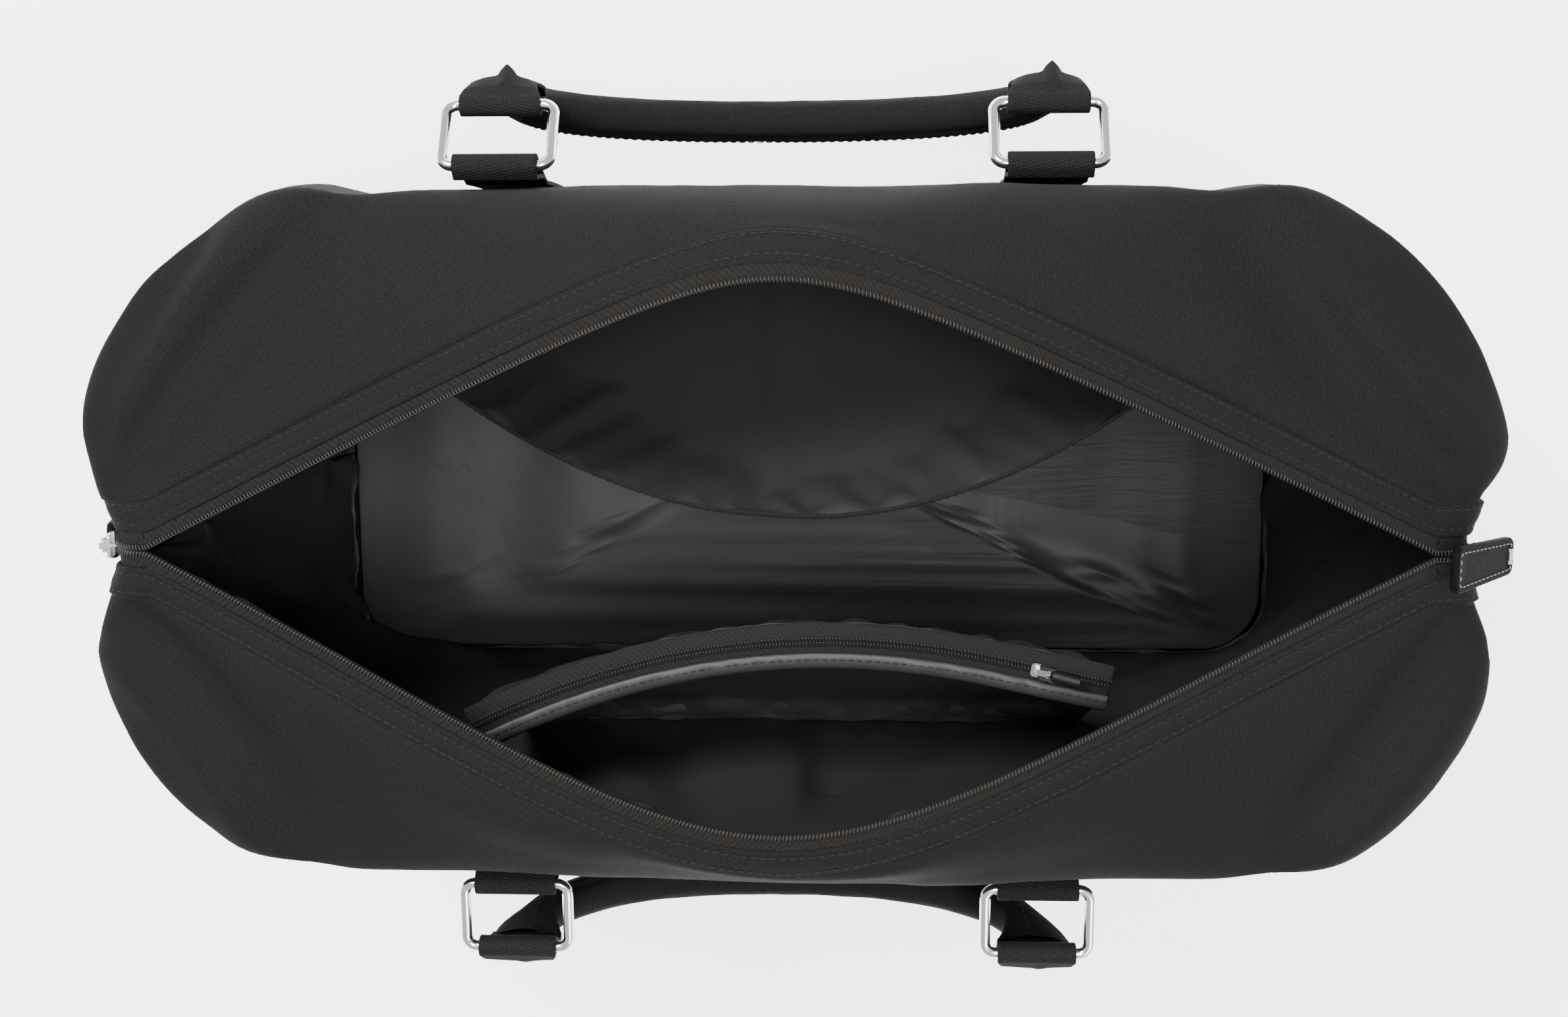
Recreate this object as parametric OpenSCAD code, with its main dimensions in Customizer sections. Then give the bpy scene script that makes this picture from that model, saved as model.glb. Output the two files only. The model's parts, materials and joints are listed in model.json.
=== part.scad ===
// Soft flight bag: a fabric holdall with a zipped mouth, two rolled handles on
// chrome rings, a zipped and an open inner pocket.
// The bag stands on its base at z = 0. X runs along the bag, +Y is its rear side.

/* [Bag] */
// Length of the bag at its shoulder
bag_l = 516; // [490:2:560]
// Depth of the bag at its shoulder, front to rear
bag_d = 258; // [250:2:290]
// Height of the shoulder, where the bag is widest
shoulder_h = 240; // [230:2:260]
// Corner radius at the shoulder, in plan
shoulder_r = 100; // [80:1:104]
// Length of the bag at its base
base_l = 450; // [430:2:480]
// Depth of the bag at its base
base_d = 204; // [200:2:230]
// Corner radius at the base, in plan
base_r = 36; // [30:1:40]
// Radius of the rolled edge between wall and base
edge_r = 12; // [8:1:16]
// Thickness of the outer fabric
skin_t = 1.6; // [1.2:0.1:2.0]

/* [Mouth] */
// Length of the open mouth, from apex to apex
mouth_l = 460; // [450:2:464]
// How far the front zip half stands from the centre line
front_gape = 94; // [80:1:100]
// How far the rear zip half stands from the centre line
rear_gape = 98; // [80:1:100]
// Height of the zip line at the middle of the mouth
rim_h = 285; // [270:1:300]
// Lower end of the closed zip on each end of the bag
zip_end_h = 176; // [160:2:190]
// Width of the facing strip beside the zip
facing_w = 11; // [8:0.5:12]
// Visible width of the zip tape on each side of the coil
tape_w = 4.3; // [3:0.1:4.5]
// Width of each coil half
coil_w = 1; // [0.8:0.1:1]
// How deep the ends are drawn in at the zip
notch = 12; // [10:1:13]

/* [End gussets] */
// Width of the gusset under each end of the zip
gusset_w = 110; // [80:2:110]
// Height of the tapered top of the gusset
gusset_taper = 60; // [40:2:70]

/* [Rings and straps] */
// Distance between the two straps of one side
strap_gap = 201; // [150:0.5:210]
// How far the straps sit off the middle of the bag
strap_shift = -4.5; // [-6:0.5:6]
// Width of the webbing straps and their loops
loop_w = 31; // [26:1:31]
// Thickness of the webbing
web_t = 1.8; // [1.4:0.1:2]
// Height of the ring hinge
loop_h = 222; // [210:1:224]
// How far the ring hinge stands off the wall
loop_out = 8; // [7:0.5:10]
// Diameter of the ring wire
wire_d = 4.2; // [3.6:0.1:4.4]
// Width of a ring between wire centres
ring_w = 40; // [40:0.1:42]
// Length of a ring between wire centres
ring_l = 26.2; // [24:0.1:30]
// How far the rear rings hang below level
rear_ring_tilt = 33; // [10:1:40]
// How far the front rings hang below level
front_ring_tilt = 3; // [0:1:30]

/* [Handles] */
// Drop from the ring to the middle of the grip
handle_drop = 68; // [60:1:80]
// Outer diameter of the rolled grip
grip_d = 16; // [14:0.5:18]
// Diameter of the core inside the grip
core_d = 7; // [6:0.5:8]

/* [Main zip sliders] */
// Angle of the left slider round the end of the bag
left_slider_angle = 80; // [60:1:80]
// Angle of the right slider round the end of the bag
right_slider_angle = 62; // [60:1:80]
// Length of a slider
slider_l = 9; // [8:0.5:10]
// Width of a slider
slider_w = 9; // [8:0.5:9.5]
// Length of a leather pull tab from its hinge to its free end
tab_l = 38; // [30:1:42]
// Width of the tab at its free end
tab_wide = 17.5; // [14:0.5:18]
// Width of the tab at its hinge end
tab_narrow = 12.5; // [10:0.5:13]
// Thickness of the tab
tab_t = 3.2; // [2.6:0.1:3.6]
// Direction of the hanging left link and tab, from the outward level
hang_angle = -80; // [-80:1:-60]
// Direction of the right link, from the outward level
link_angle = 25; // [10:1:30]
// Direction of the standing right tab, from the outward level
stand_angle = 133; // [100:1:133]

/* [Pockets] */
// Half length of the open rear pocket
slip_half = 145; // [120:5:150]
// Height of the hem of the rear pocket
slip_h = 212; // [190:2:216]
// Height of the pocket zip
pocket_zip_h = 205; // [190:1:208]
// Half length of the zipped pocket
pocket_half = 124; // [110:2:130]
// Height of the bottom seam of both pockets
pocket_low = 88; // [80:2:100]
// Position of the pocket slider along the bag
pocket_slider_x = 97; // [90:1:104]

/* [Hidden] */

// clearances
gap = 0.3;
coil_gap = 0.9;
coil_up = 0.8;
coil_down = 1.6;
tape_in = coil_gap + coil_w + 0.15;
tape_out = tape_in + tape_w;
facing_t = 1.2;
facing_in = tape_out + gap;
facing_out = facing_in + facing_w;
panel_in = facing_out + 1.5 * gap;
tape_t = 0.7;
tape_sink = 0.2;
lining_off = 4.2;
lining_t = 0.8;
lining_edge = 7.5;

// mouth
apex_x = mouth_l / 2;
end_x = bag_l / 2 - notch;
arc_r = end_x - apex_x;
apex_h = shoulder_h + arc_r;
notch_w = 24;
front_soft = 0.28;
rear_soft = 0.18;
FRONT = [front_gape, front_soft];
REAR = [rear_gape, rear_soft];

// grid sizes
roof_rows = 5;
fine = 32;

// ---- plan outline of the wall at a height ----
function bulge(z) = sin(90 * min(1, z / shoulder_h));
function half_l(z) = base_l / 2 + (bag_l - base_l) / 2 * bulge(z);
function half_d(z) = base_d / 2 + (bag_d - base_d) / 2 * bulge(z);
function corner(z) = base_r + (shoulder_r - base_r) * pow(bulge(z), 3);
function quarter(z) = half_d(z) + half_l(z) - 2 * corner(z) + PI / 2 * corner(z);
function draw_in(y, z) = notch * min(1, z / shoulder_h) * exp(-(y / notch_w) * (y / notch_w));

// p runs from -1, the left end, over 0, the middle of the side, to 1, the right end
function outline(a, b, r, p, off) =
    let (l3 = a - r, l2 = PI / 2 * r, d = abs(p) * (b - r + l2 + l3), s = sign(p))
    d < l3 ? [s * d, -(b - off)]
    : d < l3 + l2 ? let (t = (d - l3) / r * 180 / PI)
        [s * (a - r + (r - off) * sin(t)), -(b - r + (r - off) * cos(t))]
    : [s * (a - off), -(b - r + l2 + l3 - d)];
function wall(p, z, off) =
    let (q = outline(half_l(z), half_d(z), corner(z), p, off))
    [q.x - sign(q.x) * draw_in(q.y, z), q.y, z];

// ---- rows down the wall: height, and how far the row has turned under the base ----
taper_low = zip_end_h - gusset_taper;
WALL = concat(
    [[shoulder_h, 0], [(shoulder_h + zip_end_h) / 2, 0], [zip_end_h, 0]],
    [for (share = [0.25, 0.6, 1]) [zip_end_h - gusset_taper * share, 0]],
    [for (i = [1:3]) [taper_low + (edge_r - taper_low) * i / 3, 0]],
    [for (i = [1:3]) [edge_r, i / 3]]);
wall_rows = len(WALL) - 1;
full_turn = 90;
function row_inset(row, off, turn) = row[1] == 0 ? off : edge_r - (edge_r - off) * cos(turn * row[1]);
function row_z(row, off, turn) = row[1] == 0 ? row[0] : edge_r - (edge_r - off) * sin(turn * row[1]);

// half width of the slot between the front and rear pieces at the ends
taper_share = 0.25;
lining_seam = 0.2;
lining_close = 20;
function panel_slot(z, least) =
    z >= zip_end_h ? least
    : z > taper_low ? least + (gusset_w / 2 - least) * pow((zip_end_h - z) / gusset_taper, taper_share)
    : gusset_w / 2;
function lining_slot(z, least) =
    lining_seam + (least - lining_seam) * max(0, 1 - max(0, zip_end_h - z) / lining_close);
function row_point(s, row, off, slot, turn) =
    let (w = wall(s * (1 - slot / quarter(row[0])), row[0], row_inset(row, off, turn)))
    [w.x, w.y, row_z(row, off, turn)];

// ---- roof between the mouth and the shoulder ----
function lens(x, m) =
    let (u = min(1, abs(x) / apex_x), k = m[1])
    m[0] * (sqrt(1 + k * k) - sqrt(u * u + k * k)) / (sqrt(1 + k * k) - k);
function rim_z(x) = apex_h + (rim_h - apex_h) * pow(cos(90 * min(1, abs(x) / apex_x)), 2);
function inside(x, y, off) =
    let (r = shoulder_r - off, dx = abs(x) - bag_l / 2 + shoulder_r, dy = abs(y) - bag_d / 2 + shoulder_r,
        round_in = r - norm([max(dx, 0), max(dy, 0)]) - min(max(dx, dy), 0),
        end_in = bag_l / 2 - off - draw_in(y, shoulder_h) - abs(x))
    max(0, min(round_in, end_in));
function from_rim(x, y, m) =
    abs(x) <= apex_x ? max(0, abs(y) - lens(x, m)) : norm([abs(x) - apex_x, y]);
function roof_z(x, y, off, m) =
    let (dr = from_rim(x, y, m), di = inside(x, y, off), q = dr / max(0.001, dr + di), top = rim_z(x) - off)
    shoulder_h + (top - shoulder_h) * sqrt(max(0, 1 - q * q));

// ---- columns along a panel, closer together at the corners and the ends ----
mouth_share = 0.94;
half_columns = concat(
    [for (i = [0:6]) 0.08 * i],
    [for (i = [0:10]) 0.56 + 0.034 * i],
    [for (i = [0:4]) mouth_share + 0.015 * i]);
COLUMNS = concat([for (i = [len(half_columns) - 1:-1:1]) -half_columns[i]], half_columns);

// ---- panels: a grid from the mouth over the shoulder and down the wall ----
edge_rest = 1.2;
function mouth_edge(s, d, off, m) =
    abs(s) <= mouth_share ? let (x = s / mouth_share * apex_x) [x, -(lens(x, m) + d)]
    : let (reach = bag_l / 2 - draw_in(d, shoulder_h) - off - edge_rest - apex_x)
        [sign(s) * (apex_x + reach * (abs(s) - mouth_share) / (1 - mouth_share)), -d];
function mouth_point(s, d, off, m) =
    let (e = mouth_edge(s, d, off, m)) [e.x, e.y, roof_z(e.x, e.y, off, m)];
function roof_point(s, h, d, off, m) =
    let (e = mouth_edge(s, d, off, m), o = row_point(s, WALL[0], off, d, 0), k = sin(90 * h),
        x = e.x + (o.x - e.x) * k, y = e.y + (o.y - e.y) * k)
    h >= 1 ? o : [x, y, roof_z(x, y, off, m)];
function panel_grid(d, off, m) =
    [for (j = [0:roof_rows + wall_rows]) let (row = WALL[j - roof_rows])
        [for (s = COLUMNS)
            j <= roof_rows ? roof_point(s, j / roof_rows, d, off, m)
            : row_point(s, row, off, panel_slot(row[0], d), full_turn)]];
function lining_grid(off, m) =
    [for (j = [0:roof_rows + wall_rows]) let (row = WALL[j - roof_rows])
        [for (s = COLUMNS)
            j <= roof_rows ? roof_point(s, j / roof_rows, lining_edge, off, m)
            : row_point(s, row, off, lining_slot(row[0], lining_edge), lining_turn)]];

// a closed solid between two grids of the same size, outer and inner
module shell(outer, inner) {
    rows = len(outer);
    n = len(outer[0]);
    flat_outer = [for (r = outer) for (v = r) v];
    flat_inner = [for (r = inner) for (v = r) v];
    half = rows * n;
    function at(j, i) = j * n + i;
    polyhedron(
        points = concat(flat_outer, flat_inner),
        faces = concat(
            [for (j = [0:rows - 2]) for (i = [0:n - 2]) [at(j, i), at(j, i + 1), at(j + 1, i)]],
            [for (j = [0:rows - 2]) for (i = [0:n - 2]) [at(j, i + 1), at(j + 1, i + 1), at(j + 1, i)]],
            [for (j = [0:rows - 2]) for (i = [0:n - 2])
                [half + at(j, i), half + at(j + 1, i), half + at(j, i + 1)]],
            [for (j = [0:rows - 2]) for (i = [0:n - 2])
                [half + at(j, i + 1), half + at(j + 1, i), half + at(j + 1, i + 1)]],
            [for (i = [0:n - 2]) [at(0, i), half + at(0, i), at(0, i + 1)]],
            [for (i = [0:n - 2]) [at(0, i + 1), half + at(0, i), half + at(0, i + 1)]],
            [for (i = [0:n - 2]) [at(rows - 1, i), at(rows - 1, i + 1), half + at(rows - 1, i)]],
            [for (i = [0:n - 2]) [at(rows - 1, i + 1), half + at(rows - 1, i + 1), half + at(rows - 1, i)]],
            [for (j = [0:rows - 2]) [at(j, 0), at(j + 1, 0), half + at(j, 0)]],
            [for (j = [0:rows - 2]) [at(j + 1, 0), half + at(j + 1, 0), half + at(j, 0)]],
            [for (j = [0:rows - 2]) [at(j, n - 1), half + at(j, n - 1), at(j + 1, n - 1)]],
            [for (j = [0:rows - 2]) [at(j + 1, n - 1), half + at(j, n - 1), half + at(j + 1, n - 1)]]
        )
    );
}
module on_side(side) {
    if (side == "rear")
        mirror([0, 1, 0]) children();
    else
        children();
}
module on_end(end) {
    if (end == "left")
        mirror([1, 0, 0]) children();
    else
        children();
}

// ---- rails: strips beside the zip, up one end, round the mouth and down the other ----
function rail_end(s, d, off) = [for (i = [0:2]) row_point(s, WALL[i], off, d, 0)];
function rail(d, off, m) =
    let (left = rail_end(-1, d, off))
    concat([for (i = [2:-1:0]) left[i]], [for (s = COLUMNS) mouth_point(s, d, off, m)], rail_end(1, d, off));
module strip(edges, up, down, m)
    shell([for (d = edges) rail(d, up, m)], [for (d = edges) rail(d, down, m)]);

module panel(side, m)
    color("#2b2d30") on_side(side)
        shell(panel_grid(panel_in, 0, m), panel_grid(panel_in, skin_t, m));
module facing(side, m)
    color("#303236") on_side(side)
        strip([for (i = [0:3]) facing_in + facing_w * i / 3], 0, facing_t, m);
module zip_tape(side, m)
    color("#3a3633") on_side(side)
        strip([tape_in, tape_out], tape_sink, tape_sink + tape_t, m);
module zip_coil(side, m)
    color("#55504b") on_side(side)
        strip([coil_gap, coil_gap + coil_w], -coil_up, coil_down, m);
module lining(side, m)
    color("#18191b") on_side(side)
        shell(lining_grid(lining_off, m), lining_grid(lining_off + lining_t, m));

// ---- end gussets, base and board ----
gusset_cols = 10;
gusset_play = 0.45;
GUSSET = concat([[zip_end_h - gap, 0]], [for (i = [3:wall_rows]) WALL[i]]);
function gusset_half(row) =
    row[0] > zip_end_h - 1 ? facing_out : panel_slot(row[0], panel_in) - gusset_play;
function gusset_grid(off) =
    [for (row = GUSSET)
        [for (i = [0:gusset_cols]) let (z = row[0], y = gusset_half(row) * (1 - 2 * i / gusset_cols))
            [half_l(z) - row_inset(row, off, full_turn) - draw_in(y, z), y, row_z(row, off, full_turn)]]];
module end_gusset(end)
    color("#26282b") on_end(end) shell(gusset_grid(0), gusset_grid(skin_t));

// the base pieces keep the outline of the wall, set in from it
base_in = edge_r + 1.1;
board_in = edge_r + 2.2;
lining_in = edge_r - 3.2;
board_low = skin_t + gap;
board_t = 2.5;
lining_base_low = board_low + board_t + gap;
lining_turn = asin((edge_r - lining_base_low - lining_t - gap) / (edge_r - lining_off));
module base_shape(inset)
    let (r = corner(edge_r) - inset, a = half_l(edge_r) - corner(edge_r), b = half_d(edge_r) - corner(edge_r))
        hull()
            for (sx = [-1, 1])
                for (sy = [-1, 1])
                    translate([sx * a, sy * b]) circle(r = r, $fn = fine);
module base_panel()
    color("#26282b") linear_extrude(skin_t) base_shape(base_in);
module base_board()
    color("#6b6459") translate([0, 0, board_low]) linear_extrude(board_t) base_shape(board_in);
module base_lining()
    color("#141517") translate([0, 0, lining_base_low]) linear_extrude(lining_t) base_shape(lining_in);

// ---- stops that close the zip on the end walls ----
stop_h = 3;
stop_d = 6;
module zip_stop(end)
    color("silver") on_end(end)
        translate([half_l(zip_end_h) - draw_in(0, zip_end_h), 0, zip_end_h - gap])
            difference() {
                rotate([180, 0, 0]) cylinder(h = stop_h, d = stop_d, $fn = fine);
                translate([-stop_d, -stop_d, -2 * stop_h]) cube([stop_d + gap, 2 * stop_d, 3 * stop_h]);
            }

// ---- inner pockets ----
slip_mid = 5;
slip_lean = 6;
slip_flare = 41;
slip_ref = 122;
function slip_hem_y(x) = slip_lean + slip_flare * pow((x - slip_mid) / slip_ref, 2);
pocket_cols = 24;
pocket_rows = 8;
seat = lining_off + lining_t + 2;
function slip_point(u, v, off) =
    let (x = u * slip_half, low = half_d(pocket_low) - seat, hem = slip_hem_y(x), y = hem + (low - hem) * pow(v, 1.2))
    [x, y + off, slip_h + (pocket_low - slip_h) * v];
function slip_grid(off, from, to) =
    [for (j = [0:pocket_rows]) let (v = from + (to - from) * j / pocket_rows)
        [for (i = [0:pocket_cols]) slip_point(2 * i / pocket_cols - 1, v, off)]];
hem_share = 0.04;
pocket_t = 0.8;
module slip_pocket()
    color("#1d1e20") shell(slip_grid(0, hem_share, 1), slip_grid(pocket_t, hem_share, 1));
module slip_pocket_binding()
    color("#2c2c2e")
        shell(slip_grid(-0.4, 0, hem_share - 0.004), slip_grid(pocket_t + 0.4, 0, hem_share - 0.004));

ridge_mid = 15;
ridge_y = -44;
ridge_ref = 135;
ridge_left = 33;
ridge_right = 30;
ridge_straight = 80;
function ridge_curve(x) =
    ridge_y - (x < ridge_mid ? ridge_left : ridge_right) * pow((x - ridge_mid) / ridge_ref, 2);
ridge_slope = -2 * ridge_right * (ridge_straight - ridge_mid) / ridge_ref / ridge_ref;
function ridge(x) =
    x < ridge_straight ? ridge_curve(x) : ridge_curve(ridge_straight) + ridge_slope * (x - ridge_straight);
pocket_tape_w = 5;
pocket_coil_gap = 0.75;
pocket_coil_w = 1;
pocket_tape_in = pocket_coil_gap + pocket_coil_w + 0.15;
pocket_tape_out = pocket_tape_in + pocket_tape_w;
pouch_gap = 3;
function pouch_point(u, v, way, off) =
    let (x = u * pocket_half, low = -(half_d(pocket_low) - seat) + (way > 0 ? pouch_gap : 0),
        top = ridge(x) + way * (pocket_tape_out + gap), y = top + (low - top) * pow(v, 1.15))
    [x, y - way * off, pocket_zip_h + (pocket_low - pocket_zip_h) * v];
function pouch_grid(way, off) =
    [for (j = [0:pocket_rows])
        [for (i = [0:pocket_cols]) pouch_point(2 * i / pocket_cols - 1, j / pocket_rows, way, off)]];
module pocket_panel(way, name)
    color(name)
        if (way > 0)
            shell(pouch_grid(way, pocket_t), pouch_grid(way, 0));
        else
            shell(pouch_grid(way, 0), pouch_grid(way, pocket_t));
function ridge_rail(d, z) =
    [for (i = [0:pocket_cols]) let (x = pocket_half * (2 * i / pocket_cols - 1)) [x, ridge(x) + d, z]];
module ridge_strip(low, high, z0, z1)
    shell([ridge_rail(low, z0), ridge_rail(high, z0)], [ridge_rail(low, z1), ridge_rail(high, z1)]);
module pocket_zip_tape()
    color("#3c3936") for (way = [-1, 1]) {
        edges = [way * pocket_tape_in, way * pocket_tape_out];
        ridge_strip(min(edges), max(edges), pocket_zip_h, pocket_zip_h + tape_t);
    }
pocket_coil_h = 1.6;
module pocket_zip_coil()
    color("#4c4a48") for (way = [-1, 1]) {
        edges = [way * pocket_coil_gap, way * (pocket_coil_gap + pocket_coil_w)];
        ridge_strip(min(edges), max(edges), pocket_zip_h - 0.4, pocket_zip_h - 0.4 + pocket_coil_h);
    }

// ---- sliders ----
plate_t = 1.1;
wedge_w = 1.2;
wedge_l = 3.5;
bail_w = 2.4;
bail_h = 3.2;
pin_d = 1.5;
pin_play = 0.3;
pin_up = 2;
module slider_body(l, w, up, down, wedge) {
    difference() {
        union() {
            translate([0, 0, up + plate_t / 2]) rounded_plate(l, w, plate_t);
            translate([0, 0, up + plate_t + bail_h / 2]) cube([l * 0.55, bail_w, bail_h], center = true);
        }
        translate([0, 0, up + plate_t + pin_up]) rotate([90, 0, 0]) 
            cylinder(h = 2 * w, d = pin_d + pin_play, center = true, $fn = fine);
    }
    translate([0, 0, -down - plate_t / 2]) rounded_plate(l, w, plate_t);
    translate([-wedge_l / 2, -wedge / 2, -down - plate_t / 2]) cube([wedge_l, wedge, up + down + plate_t]);
}
module rounded_plate(l, w, t)
    linear_extrude(t, center = true)
        union() {
            square([l, w - 3], center = true);
            square([l - 3, w], center = true);
            for (sx = [-1, 1])
                for (sy = [-1, 1])
                    translate([sx * (l / 2 - 1.5), sy * (w / 2 - 1.5)]) circle(d = 3, $fn = fine);
        }
slider_up = coil_up + 0.45;
slider_down = 3.2;
// places a slider built on the zip line: +X is outward and down along the coil
module at_slider(end, angle)
    on_end(end)
        translate([apex_x, 0, shoulder_h]) rotate([0, angle, 0]) translate([0, 0, arc_r]) children();
module slider(end, angle)
    color("silver") at_slider(end, angle) slider_body(slider_l, slider_w, slider_up, slider_down, wedge_w);

// ---- pulls: a chrome link through the slider's bail, hinged to a leather tab ----
pin_r = arc_r + slider_up + plate_t + pin_up;
pull_play = 0.35;
link_leg = 1.2;
link_w = bail_w + 2 * pull_play + 2 * link_leg;
link_l = 9;
link_t = 1.5;
module at_pin(end, angle, turn)
    on_end(end)
        translate([apex_x + pin_r * sin(angle), 0, shoulder_h + pin_r * cos(angle)])
            rotate([0, -turn, 0]) children();
module link_bar(x)
    translate([x, 0, 0]) rotate([90, 0, 0]) cylinder(h = link_w, d = pin_d, center = true, $fn = fine);
module link_legs(l)
    for (s = [-1, 1])
        translate([0, s * (link_w - link_leg) / 2 - link_leg / 2, -link_t / 2]) cube([l, link_leg, link_t]);
module pull_link(end, angle, turn)
    color("silver") at_pin(end, angle, turn) {
        link_bar(0);
        link_bar(link_l);
        link_legs(link_l);
    }
tab_round = 3;
tab_back = 3;
tab_play = 0.3;
slot_l = 1.7;
module pull_tab(end, angle, link_turn, turn)
    color("#1b1a19") at_pin(end, angle, link_turn)
        translate([link_l, 0, 0]) rotate([0, link_turn - turn, 0])
            difference() {
                translate([0, 0, -tab_t / 2]) linear_extrude(tab_t) hull()
                    for (s = [-1, 1]) {
                        translate([tab_round - tab_back, s * (tab_narrow / 2 - tab_round)])
                            circle(r = tab_round, $fn = fine);
                        translate([tab_l - tab_round, s * (tab_wide / 2 - tab_round)])
                            circle(r = tab_round, $fn = fine);
                    }
                rotate([90, 0, 0])
                    cylinder(h = link_w + 2 * tab_play, d = pin_d + 2 * tab_play, center = true, $fn = fine);
                for (s = [-1, 1])
                    translate([-tab_back - 1, s * (link_w - link_leg) / 2 - link_leg / 2 - tab_play, -tab_t])
                        cube([tab_back + 1 + slot_l, link_leg + 2 * tab_play, 2 * tab_t]);
            }

// ---- pocket slider and pull ----
pocket_up = 1.6;
pocket_down = 1.1;
module at_pocket_slider()
    translate([pocket_slider_x, ridge(pocket_slider_x), pocket_zip_h])
        rotate([0, 0, atan(ridge_slope)]) children();
module pocket_slider()
    color("silver") at_pocket_slider() slider_body(8, 5.4, pocket_up, pocket_down, 0.9);
pocket_pull_l = 15;
pocket_pull_d = 4.6;
pocket_link_l = 4.4;
pocket_pull_angle = 12;
module pocket_pull()
    color("#1a1a1a") at_pocket_slider()
        translate([0, 0, pocket_up + plate_t + pin_up]) rotate([0, -pocket_pull_angle, 0]) {
            link_bar(0);
            link_legs(pocket_link_l + 1);
            translate([pocket_link_l, 0, 0]) rotate([0, 90, 0])
                cylinder(h = pocket_pull_l - pocket_link_l, d = pocket_pull_d, $fn = fine);
        }

// ---- straps: webbing up the wall, round the ring and back ----
bar_play = 0.35;
loop_r = wire_d / 2 + bar_play + web_t;
loop_y = half_d(loop_h) + loop_out;
strap_low = 14;
strap_steps = 10;
leave_in = loop_h - 2;
leave_out = loop_h - 22;
function strap_side(top, off) =
    [for (i = [0:strap_steps])
        let (z = strap_low + (top - strap_low) * i / strap_steps) [half_d(z) + off, z]];
function around(a) = [loop_y + loop_r * cos(a), loop_h + loop_r * sin(a)];
module strap_profile()
    difference() {
        polygon(concat(
            strap_side(leave_in, gap), [for (a = [120:-15:-60]) around(a)],
            [for (i = [strap_steps:-1:0]) strap_side(leave_out, gap + web_t)[i]]));
        translate([loop_y, loop_h]) circle(d = wire_d + 2 * bar_play, $fn = fine);
    }
function strap_x(end) = strap_shift + (end == "left" ? -1 : 1) * strap_gap / 2;
// stands a profile drawn in (outward, up) across the bag at a strap
module across(w)
    rotate([90, 0, 90]) linear_extrude(w, center = true) children();
module strap(side, end)
    color("#202124") mirror([0, side == "front" ? 1 : 0, 0]) translate([strap_x(end), 0, 0])
        across(loop_w) strap_profile();

// ---- rings ----
ring_corner = 4.2;
function tilt(side) = side == "front" ? front_ring_tilt : rear_ring_tilt;
module at_ring(side, end)
    mirror([0, side == "front" ? 1 : 0, 0]) translate([strap_x(end), loop_y, loop_h])
        rotate([-tilt(side), 0, 0]) children();
module ring(side, end)
    color("silver") at_ring(side, end) {
        for (y = [0, ring_l])
            translate([0, y, 0]) rotate([0, 90, 0])
                cylinder(h = ring_w - 2 * ring_corner, d = wire_d, center = true, $fn = fine);
        for (s = [-1, 1]) {
            translate([s * ring_w / 2, ring_corner, 0]) rotate([-90, 0, 0])
                cylinder(h = ring_l - 2 * ring_corner, d = wire_d, $fn = fine);
            for (y = [ring_corner, ring_l - ring_corner])
                translate([s * (ring_w / 2 - ring_corner), y, 0])
                    rotate([0, 0, y > ring_corner ? 45 - 45 * s : 45 - 135 * s])
                        rotate_extrude(angle = 90, $fn = fine)
                            translate([ring_corner, 0]) circle(d = wire_d, $fn = fine);
        }
    }

// ---- handles: hung from the outer bars of two rings ----
function bar_y(side) = loop_y + ring_l * cos(tilt(side));
function bar_h(side) = loop_h - ring_l * sin(tilt(side));
tongue_t = 3.4;
tongue_drop = 17;
tongue_out = 4.5;
handle_lean = 5;
module tab_profile()
    difference() {
        union() {
            circle(r = loop_r, $fn = fine);
            polygon([
                [loop_r * cos(75), loop_r * sin(75)], [loop_r * cos(190), loop_r * sin(190)],
                [tongue_out - tongue_t / 2, -tongue_drop], [tongue_out + tongue_t / 2, -tongue_drop],
                [tongue_out + tongue_t / 2 + 1.5, -6]]);
        }
        circle(d = wire_d + 2 * bar_play, $fn = fine);
    }
module handle_tab(side, end)
    color("#232427") mirror([0, side == "front" ? 1 : 0, 0]) translate([strap_x(end), bar_y(side), bar_h(side)])
        across(loop_w) tab_profile();

grip_start = tongue_drop + 0.2;
grip_steps = 32;
grip_sides = 12;
grip_power = 2.3;
start_wide = 14;
start_thick = 4.5;
morph_share = 0.22;
function grip_path(t) =
    let (c = sin(90 * t), e = 2 / grip_power, x = sign(c) * strap_gap / 2 * pow(abs(c), e), k = pow(cos(90 * t), e))
    [x + strap_shift, tongue_out * t * t - handle_lean * (1 - t * t), -grip_start - (handle_drop - grip_start) * k];
function unit(v) = v / norm(v);
function grip_ring(t, hollow) =
    let (e = 0.004, c = grip_path(t),
        dir = abs(t) > 0.999 ? [0, 0, sign(t)] : unit(grip_path(t + e) - grip_path(t - e)),
        out = [0, 1, 0], side = unit(cross(out, dir)), fold = min(1, (1 - abs(t)) / morph_share),
        ease = fold * fold * (3 - 2 * fold), r = grip_d / 2,
        ws = hollow ? core_d / 2 + gap : (start_wide + (r - start_wide) * ease),
        wo = hollow ? core_d / 2 + gap : (start_thick + (r - start_thick) * ease),
        squeeze = hollow ? 0.35 + 0.65 * ease : 1)
    [for (i = [0:grip_sides])
        let (a = 360 * i / grip_sides) c + side * ws * cos(a) + out * wo * squeeze * sin(a)];
module grip(side)
    color("#26272a") mirror([0, side == "front" ? 1 : 0, 0]) translate([0, bar_y(side), bar_h(side)])
        tube([for (j = [0:grip_steps]) grip_ring(2 * j / grip_steps - 1, false)],
            [for (j = [0:grip_steps]) grip_ring(2 * j / grip_steps - 1, true)]);
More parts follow.
